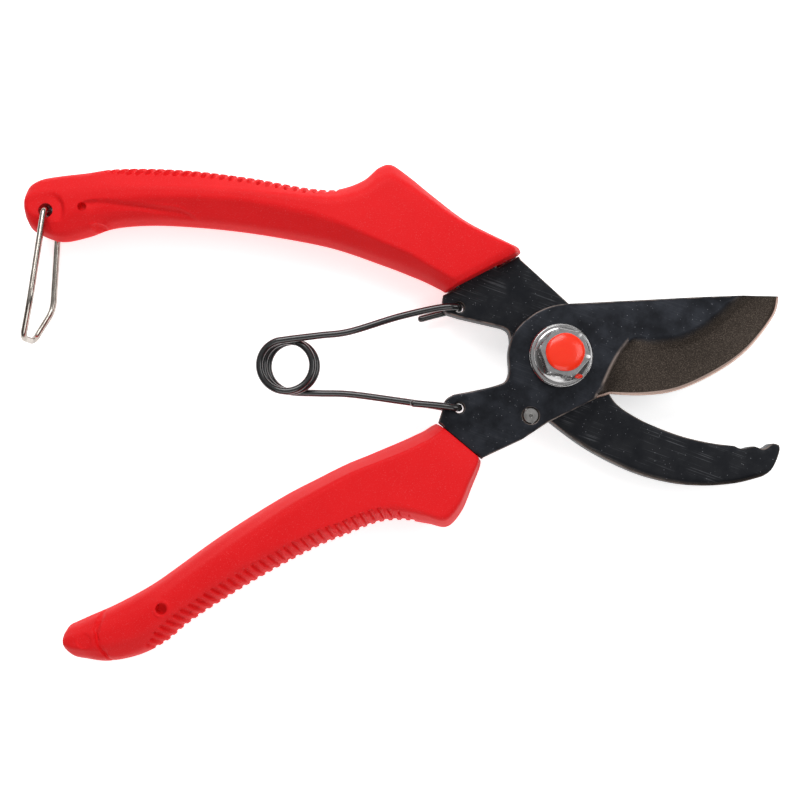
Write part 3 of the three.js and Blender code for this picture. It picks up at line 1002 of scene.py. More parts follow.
@dataclass
class CuttingBlade(Plate):
    """The ground blade: a deep hollow bevel below a low step, a fine keen edge and a chamfered spine."""

    name: str = "cutting_blade"
    mouth: Mouth = field(default_factory=lambda: Mouth((-30.7, -16.4), (-19.4, -25.9)))
    low: float = 8.6
    high: float = 13.1
    tang_low: float = 8.6
    tang_high: float = 12.1
    tang_middle: tuple = ((-23.5, -19.6), (-33, -27.5), (-55, -36.3), (-76, -48), (-98, -62.8), (-114.5, -69))
    tang_half: tuple = (5.2, 5.4, 4.4, 3.6, 3.3, 2.4)
    spring_hole: tuple = (-25.1, -12.9)
    spring_hole_r: float = 1.25
    bore: float = 4.06
    rivet: tuple = (-7.5, -14.8)
    rivet_r: float = 1.97
    step_line: tuple = (
        (8.6, -10.9), (9.3, -9.1), (10.05, -8.0), (12.6, -2.6), (14.6, 0.9), (16.6, 3.4), (17.9, 4.4),
        (22.1, 4.6), (29.5, 5.6), (34.5, 8.1), (38.2, 10.8), (42.0, 14.3), (45.0, 16.6), (50.0, 18.6),
        (57.0, 19.4),
    )
    keen_line: tuple = (
        (55.4, 15.4), (54.7, 11.8), (52.8, 8.5), (47.3, 1.9), (40.2, -3.4), (29.6, -8.3), (21.4, -9.5),
        (12.8, -9.2), (9.5, -10.2),
    )
    heel: tuple = (
        (9.5, -10.2), (-3.3, -16.5), (-9.7, -20.7), (-19.4, -25.2), (-20.4, -28.0), (-30.6, -18.2),
    )
    shoulder: tuple = (
        (-15.8, -7.3), (-13.7, -6.3), (-12.8, -4.3), (-12.9, 0.6), (-12.0, 4.6), (-10.0, 7.6), (-6.3, 10.6),
    )
    spine: tuple = ((2.2, 13.0), (35.3, 14.7), (55.4, 15.4))
    beyond_edge: tuple = (  # closes the ground area outside the keen edge
        (58.5, 14.0), (56.0, 10.0), (53.6, 7.0), (48.0, 0.4), (40.8, -5.0), (29.9, -9.9), (21.0, -11.0),
        (12.8, -11.2), (9.5, -11.4),
    )
    step_height: float = 0.5
    step_widths: tuple = (0.5, 2.6)  # width of the step's slope at the pivot, and what it gains beyond it
    spine_chamfer: tuple = (0.6, 1.35)  # fall and width
    keen_z: float = 8.74
    edge_z: float = 8.95
    lip_rise: float = 0.12
    hollow: float = 0.4
    keen_width: float = 0.8
    keen_widths: tuple = ((9, 25, 40, 50, 55), (0.5, 0.85, 0.85, 0.6, 0.45))  # by X: the bare strip's width
    flat_width: float = 0.9  # width of the strip by the keen edge whose underside isn't rounded

    def edge(self) -> np.ndarray:
        """The plate's outline."""
        return trace(
            (-6.3, 10.6),
            (Run.CURVED, [(-3.8, 11.8), (-1.1, 12.6), self.spine[0]]),
            (Run.STRAIGHT, self.spine[1:]),
            (Run.CURVED, self.keen_line[1:8]),
            (Run.STRAIGHT, self.heel),
            (Run.CURVED, [(-30.1, -16.2), (-29.3, -13.7), (-28.6, -11.1), (-26.4, -9.6)]),
            (Run.CURVED, self.shoulder),
        )

    def holes(self) -> list[np.ndarray]:
        """The bolt's bore, the stop rivet's hole and the spring's hole."""
        return [
            circle((0, 0), self.bore, 64),
            circle(self.rivet, self.rivet_r, 36),
            circle(self.spring_hole, self.spring_hole_r, 30),
        ]

    def keen(self) -> np.ndarray:
        """The cutting edge from the tip to its heel."""
        return np.vstack([swept(self.keen_line[:8], 300), self.keen_line[8]])

    def step(self) -> np.ndarray:
        """The line that the grinding wheel left, from the heel to beyond the spine."""
        return swept(self.step_line, 320)

    def guides(self) -> list[np.ndarray]:
        """Rows on both sides of the step and of the keen edge's back line."""
        rows, wide = [], self.keen_width
        for line, offsets in ((self.step(), (-0.1, 0.12, 0.5)), (self.keen(), (0.25, wide, wide + 0.15))):
            line = spaced(line, 0.32)
            right = right_of(line)
            rows += [line + right * offset for offset in offsets]
            rows += [line - right * offset for offset in offsets[1:]]
        return rows

    def bevel(self, to_step: np.ndarray, to_keen: np.ndarray) -> np.ndarray:
        """Height of the ground face, before its step.

        With a share s of 0 at the keen edge and 1 at the step, it rises in a straight line with s, less
        4 s (1 - s) times the hollow. A short lip at the keen edge is steeper.

        Args:
            to_step: Distance from the step's line.
            to_keen: Distance from the keen edge.

        Returns:
            The heights.
        """
        share = to_keen / np.maximum(to_keen + to_step, 1e-6)
        top = self.high - self.step_height
        bevel = self.edge_z + (top - self.edge_z) * share - self.hollow * 4 * share * (1 - share)
        lip = self.keen_z + (self.edge_z - self.keen_z + self.lip_rise) * to_keen / self.keen_width
        return np.where(to_keen < self.keen_width, np.minimum(bevel, lip), bevel)

    def shape(self, at: np.ndarray, low: np.ndarray, high: np.ndarray, rim: np.ndarray) -> tuple:
        """The bevel falls from the foot of the step to the keen edge, and the spine is chamfered.

        Args:
            at: Rows of x, y.
            low: Height of the underside at each point.
            high: Height of the top.
            rim: Distance from the plate's edges.

        Returns:
            As in Plate.
        """
        x = at[:, 0]
        to_step, to_keen = distance(at, self.step()), distance(at, self.keen())
        ground = within(at, np.vstack([self.step(), self.beyond_edge]))
        bevel = np.maximum(self.bevel(to_step, to_keen), low + 0.1)
        ramp = to_step / (self.step_widths[0] + self.step_widths[1] * smooth(15, 25, x))
        bevel = bevel + (self.high - bevel) * (1 - np.clip(ramp, 0, 1))
        fall, wide = self.spine_chamfer
        to_spine = distance(at, np.array(self.spine))
        chamfer = self.high - fall * np.clip(1 - to_spine / wide, 0, 1) * smooth(1.5, 5.0, x)
        flat_low = np.where(to_keen < self.flat_width, self.low, low)
        height = np.where(ground, np.minimum(bevel, chamfer), np.minimum(high, chamfer))
        step_highlight = np.where(x < 17, to_step * 0.5, FAR)  # painted highlight along the step's brow near the pivot, standing for its sloped wall catching the light
        marks = {
            # the top's rim mark also carries the painted step highlight, so the worn-edge colour shows there
            "rim": (np.minimum(np.where(ground, FAR, rim), step_highlight), rim),
            "ground": (np.where(ground, smooth(0.1, 0.75, ramp), 0), np.zeros(len(at))),
            "keen": (to_keen / np.interp(x, *self.keen_widths), np.full(len(at), FAR)),
        }
        return flat_low, np.maximum(height, flat_low + 0.12), marks


# ---- grips -----------------------------------------------------------------------------------------


@dataclass
class Grip:
    """A moulded grip, lofted through rows from its mouth to its rounded end.

    Each row holds a point on the edge that faces the other grip, a point on the ribbed back edge and half
    the thickness. Across a row, the section is a ten-sided outline with rounded corners: an inner wall, a
    sloped facet, a flat side, a shoulder with the ribs, and the back edge.
    """

    name: str
    rows: tuple
    facet_ends: tuple  # where the sloped facet ends, as a part of the way across, for each row
    flat_ends: tuple  # where the flat side ends, for each row
    rib_run: tuple  # X of the first and last groove on the back edge
    rib_count: int
    rib_length: float
    rib_slants: tuple  # slant of the first and last groove, as length along for each unit across
    channel: Plate
    wall: tuple = (1.3, 4.0)  # the inner wall's corner: across and up
    edge_width: float = 1.2
    edge_height: float = 0.56
    lip: float = 0.32
    stations: int = 500
    rib_depth: float = 0.85
    rib_half: float = 0.56
    dome: float = 0.3  # how far the end bulges beyond the last row
    clearance: float = 0.3  # between the tang and its channel
    facet_fillets: tuple = (0.7, 1.9)  # cut of the facet's rounded corner at the mouth, and what it gains
    fillets: tuple = (2.0, 1.3, 2.6, 1.6, 2.2)  # of the other corners, from the inner edge to the back edge
    corner_steps: int = 6
    edge_steps: tuple = (3, 17, 14, 22, 3)

    def place(self) -> tuple[np.ndarray, np.ndarray]:
        """Stations along the grip, closer where the ribs are: row numbers and lengths from the mouth."""
        dense = np.linspace(0, len(self.rows) - 1, 3000)
        line = curve_at(np.array(self.rows, float)[:, 2:4], dense)
        along = travel(line)
        first, last = self.rib_run
        ribbed = smooth(first + 4, first, line[:, 0]) * smooth(last - 4, last, line[:, 0])
        need = 1.7 + 3.4 * ribbed + 30 * (along < self.lip) + 2.2 * (along > along[-1] - 12)
        share = np.concatenate([[0], np.cumsum(np.diff(along) * need[1:])])
        pick = np.linspace(0, share[-1], self.stations)
        return np.interp(pick, share, dense), np.interp(pick, share, along)

    def section(
        self, width: np.ndarray, half: np.ndarray, facet: np.ndarray, flat: np.ndarray, soft: np.ndarray
    ) -> np.ndarray:
        """Rounded outlines across the grip.

        Args:
            width: Distance across, for each station.
            half: Half the thickness.
            facet: Where the sloped facet ends, as a part of the width.
            flat: Where the flat side ends.
            soft: Cut of the facet's rounded corner.

        Returns:
            Stations by points by (across, up).
        """
        wall_in = np.minimum(self.wall[0], 0.12 * width)
        wall_up = np.minimum(self.wall[1], 0.6 * half)
        back = width - np.minimum(self.edge_width, 0.12 * width)
        side = [
            (0 * width, 0 * half), (wall_in, wall_up), (facet * width, half), (flat * width, half),
            (back, self.edge_height * half), (width, 0 * half),
        ]
        ring = [np.stack(p, axis=1) for p in side]
        ring = np.stack([*ring, *[p * [1, -1] for p in ring[4:0:-1]]])
        cuts = [cut + 0 * soft for cut in self.fillets]
        cuts.insert(2, soft)
        cuts = np.stack([*cuts, *cuts[4:0:-1]])[..., None]
        step = np.roll(ring, -1, axis=0) - ring
        length = np.linalg.norm(step, axis=2, keepdims=True)
        on = step / length
        cuts = np.minimum(cuts, 0.34 * np.minimum(np.roll(length, 1, axis=0), length))
        starts, ends = ring - np.roll(on, 1, axis=0) * cuts, ring + on * cuts
        stops = np.roll(starts, -1, axis=0)
        t = np.linspace(0, 1, self.corner_steps)[None, :, None]
        points = []
        for i, count in enumerate([*self.edge_steps, *self.edge_steps[::-1]]):
            start, here, end, stop = (a[i][:, None] for a in (starts, ring, ends, stops))
            points.append(bend(start, here, end, t))
            points.append(end + (stop - end) * np.linspace(0, 1, count + 2)[None, 1:-1, None])
        return np.concatenate(points, axis=1)

    def body(self) -> tuple[np.ndarray, dict[str, np.ndarray]]:
        """The plain surface, with the place of each point on the grip.

        Returns:
            The points as stations by places round them, and named numbers of the same shape: "along" from
            the mouth, "across" from the inner edge, "left" to the back edge, "up" from the middle.
        """
        place, along = self.place()
        rows = np.array(self.rows, float)
        keys = curve_at(rows, place)
        index = np.arange(len(rows))
        facet, flat = (np.interp(place, index, ends) for ends in (self.facet_ends, self.flat_ends))
        inner, outer, half = keys[:, :2], keys[:, 2:4], keys[:, 4]
        width = np.linalg.norm(outer - inner, axis=1)
        soft = self.facet_fillets[0] + self.facet_fillets[1] * smooth(-45, -90, inner[:, 0])
        ring = self.section(width, half, facet, flat, soft)
        gap = np.maximum(self.lip - along, 0)
        inset = (self.lip - np.sqrt(self.lip**2 - gap**2))[:, None]
        middle = (width / 2)[:, None]
        across = middle + (ring[..., 0] - middle) * (1 - inset / middle)
        up = ring[..., 1] * (1 - inset / half[:, None])
        way = (outer - inner) / width[:, None]
        spot = inner[:, None] + way[:, None] * across[..., None]
        points = np.concatenate([spot, (MIDDLE + up)[..., None]], axis=2)
        tip = way[-1][::-1] * [1, -1]
        tip = tip if tip @ (inner[-1] - inner[0]) > 0 else -tip
        centre = np.array([*(inner[-1] + outer[-1]) / 2, MIDDLE])
        end, parts = points[-1], np.linspace(0, 1, 7)[1:-1]
        domes = [centre + (end - centre) * np.sqrt(1 - t**2) + [*tip * self.dome * t, 0] for t in parts]
        along = np.broadcast_to(along[:, None], across.shape)
        spot = {"along": along, "across": across, "left": width[:, None] - across, "up": up}
        spot = {k: np.concatenate([v, np.repeat(v[-1:], len(parts), axis=0)]) for k, v in spot.items()}
        return np.concatenate([points, domes]), spot

    def grooves(self, spot: dict[str, np.ndarray]) -> np.ndarray:
        """Depth of the grooves between the ribs: even slots with round inner ends, across the back.

        Args:
            spot: The place of each point on the grip, as in body.

        Returns:
            The depth at each point.
        """
        line = swept(self.rows, 3000)[:, 2:4]
        first, last = np.interp([-self.rib_run[0], -self.rib_run[1]], -line[:, 0], travel(line))
        pitch = (last - first) / (self.rib_count - 1)
        left = np.maximum(spot["left"], 0)
        part = np.clip((spot["along"] - first) / (last - first), 0, 1)
        slant = self.rib_slants[0] + (self.rib_slants[1] - self.rib_slants[0]) * part
        reach = (spot["along"] - slant * left - first) / pitch
        nearest = np.clip(np.round(reach), 0, self.rib_count - 1)
        off = (reach - nearest) * pitch
        ends = np.minimum(nearest, self.rib_count - 1 - nearest)
        taper = 0.45 + 0.55 * np.clip((ends + 0.5) / 3, 0, 1)  # the last few grooves are shorter
        past = np.maximum(left - (self.rib_length * taper - self.rib_half), 0)
        reached = np.hypot(off / np.sqrt(1 + slant**2), past)
        deep = self.rib_depth * (0.6 + 0.4 * taper) * (0.45 + 0.55 * smooth(0.0, 1.4, left))
        return deep * smooth(self.rib_half + 0.1, self.rib_half - 0.16, reached)

    def features(self, at: np.ndarray, spot: dict[str, np.ndarray]) -> tuple:
        """Depths of the grip's own hollows.

        Args:
            at: The surface's points.
            spot: The place of each point on the grip, as in body.

        Returns:
            Depths straight down from the flat sides, and depths square to the surface.
        """
        raise NotImplementedError

    def drills(self) -> list[bpy.types.Object]:
        """Shapes to cut out besides the tang's channel."""
        raise NotImplementedError

    def build(self) -> bpy.types.Object:
        """The grip with its ribs, hollows, holes and the channel for the tang."""
        points, spot = self.body()
        down = np.gradient(points, axis=0)
        round_on = np.roll(points, -1, axis=1) - np.roll(points, 1, axis=1)
        normal = np.cross(down, round_on)
        normal = normal / np.maximum(np.linalg.norm(normal, axis=2), 1e-9)[..., None]
        centre = points.mean(axis=1, keepdims=True)
        facing = np.sign(((points - centre) * normal).sum(axis=2).mean())
        started = smooth(0.3, 1.2, spot["along"])
        sunk, pressed = self.features(points, spot)
        depth = (self.grooves(spot) + pressed) * started
        points = points - facing * normal * depth[..., None]
        points[..., 2] -= np.sign(spot["up"]) * sunk * started
        grip = skin(self.name, points, crease=50)
        tang = anticlockwise(self.channel.tang())
        tang = spaced(closed(tang + right_of_loop(tang) * self.clearance), 1.2)[:-1]
        low, high = self.channel.tang_low - self.clearance, self.channel.tang_high + self.clearance
        return carve(grip, slab("channel", tang, low, high), *self.drills())


def drill(centre: Sequence[float], radius: float, low: float, high: float) -> bpy.types.Object:
    """A round cutter between two heights."""
    return revolve("drill", [(radius, low), (radius, high)], centre, 36)


def flat_distance(at: np.ndarray, line: Sequence) -> np.ndarray:
    """Distance in the plane from each point of a grid to an open line."""
    return distance(at.reshape(-1, 3)[:, :2], np.array(line)).reshape(at.shape[:2])


@dataclass
class CounterGrip(Grip):
    """The upper grip: thumb facets, a finger step in front of the ribs and the catch's hinge at its end."""

    name: str = "counter_grip"
    rows: tuple = (
        (-28.5, 16.3, -9.0, 26.5, 5.6), (-29.4, 16.9, -9.7, 27.9, 6.4), (-30.0, 17.2, -11.8, 29.0, 6.7),
        (-33.9, 19.1, -22.8, 34.7, 7.4), (-38.0, 20.8, -31.0, 40.9, 7.9), (-41.5, 22.2, -38.0, 46.6, 8.1),
        (-44.5, 23.3, -41.9, 49.1, 8.2),
        (-47.5, 24.4, -44.7, 48.4, 8.3), (-51.4, 25.8, -48.6, 45.1, 8.4), (-56.5, 27.4, -55.1, 42.8, 8.4),
        (-62.6, 28.8, -61.5, 43.0, 8.4), (-77.8, 31.4, -77.0, 45.7, 8.3), (-92.0, 32.9, -92.0, 47.6, 7.8),
        (-103.6, 33.3, -104.0, 48.2, 7.1), (-112.5, 32.4, -112.5, 48.0, 6.5),
        (-118.5, 30.3, -118.5, 47.1, 6.1),
        (-125.0, 29.1, -125.5, 46.3, 5.6), (-129.7, 30.6, -130.3, 45.4, 5.3),
        (-132.3, 32.2, -132.6, 44.0, 4.9),
        (-133.2, 33.8, -133.4, 42.5, 4.3),
    )
    facet_ends: tuple = (
        0.16, 0.16, 0.16, 0.17, 0.19, 0.17, 0.17, 0.19, 0.25, 0.355, 0.41, 0.46, 0.41, 0.38, 0.36,
        0.34, 0.34,
        0.34, 0.36, 0.38,
    )
    flat_ends: tuple = (
        0.90, 0.90, 0.90, 0.88, 0.86, 0.83, 0.80, 0.75, 0.73, 0.72, 0.70, 0.62, 0.56, 0.56, 0.60,
        0.62, 0.64,
        0.64, 0.62, 0.60,
    )
    rib_run: tuple = (-55.4, -111.9)
    rib_count: int = 26
    rib_length: float = 3.0
    rib_slants: tuple = (0.2, 0.9)
    channel: Plate = field(default_factory=CounterBlade)
    hinge: tuple = (-127.8, 36.3)
    hinge_r: float = 1.8
    dish_r: float = 4.4
    dish_up: float = 4.8  # height of the dish's flat floor above the middle plane
    pin_hole: tuple = (-118.5, 37.0)
    step_line: tuple = (
        (-118.2, 38.1), (-113.8, 38.5), (-106.4, 37.7), (-99.0, 36.8), (-94.0, 36.1), (-92.0, 35.2),
        (-89.8, 33.8),
    )
    wedge_line: tuple = (
        (-125.4, 30.9), (-120.5, 33.4), (-114.3, 35.2), (-106.8, 36.1), (-99.4, 35.2), (-89.9, 33.7),
    )

    wedge_depth: float = 0.95
    dimple: tuple = (-114.8, 32.5)
    scar: tuple = ((-127.9, 34.3), (-127.3, 32.6), (-126.8, 31.2))

    def wedge(self, at: np.ndarray) -> np.ndarray:
        """How far the wedge in front of the hinge is lowered, with a low ridge along its step.

        Args:
            at: The surface's points.

        Returns:
            The depth at each point.
        """
        x, y = at[..., 0], at[..., 1]
        upper, lower = curve_read(self.step_line, x), curve_read(self.wedge_line, x)
        span = np.maximum(upper - lower, 0.05)
        fall = np.clip((y - lower) / span, 0, 1)
        inside = (x < -89.8) & (x > -119.5) & (at[..., 2] > MIDDLE)
        depth = self.wedge_depth * smooth(0.0, 1.6, span) * smooth(-119.5, -116.5, x)
        ridge = 0.15 * np.exp(-(((y - upper - 0.5) / 0.35) ** 2)) * smooth(-104, -97, x)
        return (depth * fall**1.2 * smooth(0.5, -0.6, y - upper) - ridge) * inside

    def features(self, at: np.ndarray, spot: dict[str, np.ndarray]) -> tuple:
        """The dish round the hinge, the wedge in front of it, the gate dimple and a small scar.

        Args:
            at: The surface's points.
            spot: The place of each point on the grip, as in body.

        Returns:
            As in Grip.
        """
        x, y = at[..., 0], at[..., 1]
        front = at[..., 2] > MIDDLE
        away = np.hypot(x - self.hinge[0], y - self.hinge[1])
        over = np.maximum(np.abs(spot["up"]) - self.dish_up, 0)
        dish = over * smooth(self.dish_r + 0.8, self.dish_r - 0.5, away)
        mark = np.hypot((x - self.dimple[0]) / 2.05, (y - self.dimple[1]) / 0.9)
        rim = 0.26 * np.exp(-(((mark - 1.05) / 0.2) ** 2))
        scar = 0.15 * smooth(0.35, 0.1, flat_distance(at, self.scar)) * front
        return dish + self.wedge(at) + scar, (0.7 * smooth(0.8, 0.3, mark) - rim) * front

    def drills(self) -> list[bpy.types.Object]:
        """The hinge hole right through, and the small blind hole at the step's end."""
        return [drill(self.hinge, self.hinge_r, -2, 19), drill(self.pin_hole, 1.1, 12.7, 19)]


@dataclass
class CutterGrip(Grip):
    """The lower grip: a long thumb facet, ribs from nose to end and the groove for the catch."""

    name: str = "cutter_grip"
    rows: tuple = (
        (-30.7, -16.4, -19.4, -25.9, 6.4), (-31.9, -17.0, -19.6, -27.4, 7.0),
        (-33.8, -18.2, -21.6, -32.4, 7.8),
        (-35.7, -19.1, -24.3, -38.6, 8.1), (-38.5, -20.4, -27.8, -42.3, 8.2),
        (-42.5, -22.1, -32.6, -41.6, 8.3),
        (-47.5, -24.2, -38.5, -40.7, 8.4), (-53.1, -26.5, -44.6, -41.2, 8.4),
        (-60.5, -30.2, -52.5, -44.2, 8.4),
        (-68.0, -34.1, -60.0, -47.3, 8.4), (-83.8, -44.0, -75.8, -55.8, 8.1),
        (-99.9, -55.5, -91.7, -66.0, 7.3),
        (-105.2, -58.6, -96.9, -70.3, 6.9), (-110.7, -61.4, -103.5, -73.6, 6.5),
        (-115.6, -63.5, -111.2, -75.1, 6.1), (-118.9, -65.0, -116.6, -74.5, 5.6),
        (-120.8, -66.0, -119.4, -73.9, 5.0), (-121.6, -67.3, -121.2, -72.4, 4.3),
    )
    facet_ends: tuple = (
        0.20, 0.18, 0.16, 0.13, 0.125, 0.14, 0.155, 0.17, 0.19, 0.23, 0.32, 0.36, 0.36, 0.34, 0.34,
        0.34, 0.36,
        0.38,
    )
    flat_ends: tuple = (
        0.92, 0.92, 0.90, 0.90, 0.90, 0.86, 0.81, 0.81, 0.81, 0.77, 0.68, 0.70, 0.68, 0.64, 0.64,
        0.64, 0.62,
        0.60,
    )
    rib_run: tuple = (-36.5, -99.0)
    rib_count: int = 34
    rib_length: float = 3.9
    rib_slants: tuple = (-0.1, 0.5)
    channel: Plate = field(default_factory=CuttingBlade)
    eye: tuple = (-97.1, -61.5)
    eye_r: float = 1.4
    witness: tuple = (-115.9, -69.4)
    latch: tuple = (
        (-111.6, -60.5), (-112.4, -63.9), (-113.0, -66.2), (-112.6, -69.5), (-110.2, -74.3),
        (-109.2, -76.5),
    )
    latch_seat: tuple = ((-112.2, -63.5), (-113.1, -66.8))  # where the groove is wider, for the wire

    def features(self, at: np.ndarray, spot: dict[str, np.ndarray]) -> tuple:
        """The latch groove, the eye's raised rim and the mould's round witness mark.

        Args:
            at: The surface's points.
            spot: The place of each point on the grip, as in body; not used.

        Returns:
            As in Grip.
        """
        x, y = at[..., 0], at[..., 1]
        front = at[..., 2] > MIDDLE
        groove = 0.75 * smooth(0.5, 0.22, flat_distance(at, swept(self.latch, 60))) * front
        seat = 0.6 * smooth(0.85, 0.45, flat_distance(at, self.latch_seat)) * front
        eye = np.hypot(x - self.eye[0], y - self.eye[1])
        rim = -0.22 * np.exp(-(((eye - self.eye_r - 0.45) / 0.3) ** 2)) * front
        mark = np.hypot(x - self.witness[0], y - self.witness[1])
        witness = 0.28 * smooth(1.9, 1.55, mark) * front
        return np.maximum(groove, seat) + rim + witness, np.zeros_like(x)

    def drills(self) -> list[bpy.types.Object]:
        """The blind eye."""
        return [drill(self.eye, self.eye_r, 13.3, 19)]


def curve_read(line: Sequence, x: np.ndarray) -> np.ndarray:
    """The height of a line that runs from left to right, at each X."""
    keys = np.array(line, float)
    keys = keys[np.argsort(keys[:, 0])]
    dense = swept(keys, 200)
    return np.interp(x, dense[:, 0], dense[:, 1])


# ---- pivot -----------------------------------------------------------------------------------------


@dataclass
class Pivot:
    """The pivot's bolt, washer, nut and lacquer, and the rivet that stops the blade."""

    sides: int = 180
    head: tuple = ((0.3, 0), (5.6, 0), (7.2, 0.5), (8.0, 1.6), (8.0, 3.3), (5.3, 3.3))
    square: float = 3.7
    shank_r: float = 4.0
    thread_r: float = 3.5
    thread_pitch: float = 1.0
    thread_depth: float = 0.42
    thread_low: float = 13.1
    bolt_top: float = 20.3
    washer: tuple = (4.1, 7.9, 13.2, 14.4)
    nut_low: float = 14.5
    nut_high: float = 20.6
    flats: float = 11.0
    nut_turn: float = 19.0
    nut_heights: tuple = (15.0, 15.2, 15.35)  # the flange's brow
    flange_z: tuple = (14.5, 14.62, 15.0, 15.2, 15.35, 16.25, 16.6)
    flange_r: tuple = (6.75, 6.85, 6.85, 6.7, 6.35, 5.1, 4.4)  # at those heights
    sharpness: float = 25.0  # of the hexagon's corners, where they meet the circle that they are turned to
    bore: float = 3.6
    lacquer_r: float = 4.75
    lacquer_z: float = 20.75
    lacquer_rise: float = 1.1
    drips: tuple = (  # centre, half width, half height, lean
        (1.95, -4.95, 19.4, 0.55, 0.75, 0.9), (3.93, -5.35, 15.75, 1.0, 0.34, 0.5),
    )
    rivet: tuple = (-7.5, -14.8)
    rivet_r: float = 1.87
    rivet_z: tuple = (3.9, 13.25)

    def around(self) -> np.ndarray:
        """Angles all round."""
        return np.linspace(0, 2 * np.pi, self.sides, endpoint=False)

    def stack(
        self, name: str, radii: np.ndarray, heights: np.ndarray, ring_closed: bool = False, crease: float = 30
    ) -> bpy.types.Object:
        """A piece about the axis.

        Args:
            name: The object's name.
            radii: A radius for each height and angle.
            heights: Heights, one for each ring or one for each radius.
            ring_closed: Whether the last ring joins the first one.
            crease: Angle in degrees above which an edge stays sharp.

        Returns:
            The piece.
        """
        a = self.around()
        heights = np.asarray(heights, float)
        z = heights if heights.ndim == 2 else np.broadcast_to(heights[:, None], radii.shape)
        rings = np.stack([radii * np.cos(a), radii * np.sin(a), z], axis=-1)
        return skin(name, rings, ring_closed=ring_closed, crease=crease)

    def build_bolt(self) -> bpy.types.Object:
        """A domed head, a square neck, a round shank and a thread that winds once for each pitch."""
        a = self.around()
        flat = softened(self.head, 0.5)
        head = np.broadcast_to(flat[:, :1], (len(flat), len(a)))
        neck = np.minimum(self.square / np.maximum(np.abs(np.cos(a)), np.abs(np.sin(a))), 4.9)
        shank = np.full_like(a, self.shank_r)
        z = np.arange(self.thread_low, self.bolt_top - 0.35, self.thread_pitch / 10)
        turn = (z[:, None] / self.thread_pitch - a / (2 * np.pi)) % 1
        run_in = smooth(self.thread_low - 0.1, self.thread_low + 1.1, z)[:, None]
        thread = self.thread_r - self.thread_depth * (0.5 - np.abs(turn - 0.5)) * 2 * run_in
        top = [np.minimum(thread[-1], self.thread_r - 0.4), np.full_like(a, 0.3)]
        radii = np.vstack([head, neck, neck, shank, shank, thread, top])
        heights = [*flat[:, 1], 3.35, MIDDLE, MIDDLE + 0.02, 12.9, *z, self.bolt_top, self.bolt_top]
        return self.stack("pivot_bolt", radii, heights)

    def build_washer(self) -> bpy.types.Object:
        """A thick washer with a broad bright bevel and a broken inner edge."""
        inner, outer, low, high = self.washer
        ring = [
            (inner, low + 0.1), (inner + 0.1, low), (outer - 0.15, low), (outer, low + 0.15),
            (outer, high - 0.45), (outer - 0.42, high), (inner + 0.2, high), (inner, high - 0.2),
        ]
        ring = softened([ring[-1], *ring, ring[0]], 0.12, 4)[1:-1]
        radii = np.broadcast_to(ring[:, :1], (len(ring), self.sides))
        return self.stack("front_washer", radii, ring[:, 1], True, 40)

    def build_nut(self) -> bpy.types.Object:
        """A flanged hexagon nut.

        At an angle a from the middle of a flat, the hexagon's radius is half its flats over cos a, softened
        where it meets the circle through its corners. A cone cuts those corners at the top, and a sloped
        flange stands out at the bottom.

        Returns:
            The nut.
        """
        a = self.around() - np.radians(self.nut_turn)
        sector = (a + np.pi / 6) % (np.pi / 3) - np.pi / 6
        hexagon, corner = self.flats / 2 / np.cos(sector), self.flats / np.sqrt(3)
        keen = self.sharpness
        hexagon = -np.log(np.exp(-keen * hexagon) + np.exp(-keen * (corner - 0.05))) / keen
        low, high = self.nut_low, self.nut_high
        levels = [np.linspace(15.5, 16.7, 9), np.linspace(17.0, high - 1.9, 4)]
        levels.append(np.linspace(high - 1.7, high - 0.1, 15))
        z = np.concatenate([[low, low + 0.12, *self.nut_heights], *levels, [high]])
        cone = self.flats / 2 + 0.5 + (high - z) * 1.9
        flange = np.interp(z, self.flange_z, self.flange_r)
        outer = np.maximum(np.minimum(hexagon[None], cone[:, None]), flange[:, None])
        outer[-1] -= 0.1
        bore = self.bore
        inside = np.array([(bore + 0.6, high), (bore, high - 0.5), (bore, low + 0.3), (bore + 0.3, low)])
        radii = np.vstack([outer, np.broadcast_to(inside[:, :1], (4, self.sides))])
        return self.stack("pivot_nut", radii, [*z, *inside[:, 1]], True, 24)

    def build_lacquer(self) -> bpy.types.Object:
        """A slightly uneven dome of lacquer on the nut's end."""
        a = self.around()
        edge = self.lacquer_r * (0.985 + 0.012 * np.sin(2 * a + 1.1) + 0.008 * np.sin(5 * a + 0.4))
        t = np.linspace(0, 1, 22)[:-1] * np.pi / 2
        share = np.concatenate([[0.02, 0.9], np.cos(t) ** 0.72])[:, None]
        rise = np.concatenate([[0, 0], np.sin(t) * self.lacquer_rise])[:, None]
        rise = rise * (1 + 0.06 * np.sin(a + 2.2) * share)
        return self.stack("nut_lacquer", share * edge, self.lacquer_z + rise, crease=60)

    def build_drips(self) -> bpy.types.Object:
        """Two small runs of lacquer, on the nut's cut corner and on its flange: flattened beads."""
        a = self.around()[::6]
        t = np.linspace(0.12, np.pi - 0.12, 12)[:, None]
        made = []
        for x, y, z, wide, tall, tilt in self.drips:
            px = wide * np.sin(t) * np.cos(a)
            py = wide * 0.6 * np.sin(t) * np.sin(a)
            pz = tall * np.cos(t) + 0 * a
            py, pz = py * np.cos(tilt) - pz * np.sin(tilt), py * np.sin(tilt) + pz * np.cos(tilt)
            made.append(skin("drip", np.stack([px + x, py + y, pz + z], axis=-1), crease=60))
        return joined("lacquer_drips", made)

    def build_rivet(self) -> bpy.types.Object:
        """A straight pin: turned rings and a centre dot on its front end, a broken edge all round."""
        r = self.rivet_r
        low, high = self.rivet_z
        rings = [(k, high - 0.035 * (i % 2)) for i, k in enumerate(np.linspace(0.5, r - 0.25, 9))]
        front = [(0.12, high - 0.3), (0.3, high - 0.13), *rings, (r - 0.14, high), (r, high - 0.15)]
        profile = [*front, (r, low + 0.15), (r - 0.15, low), (0.2, low)]
        return revolve("stop_rivet", profile, self.rivet, 72)


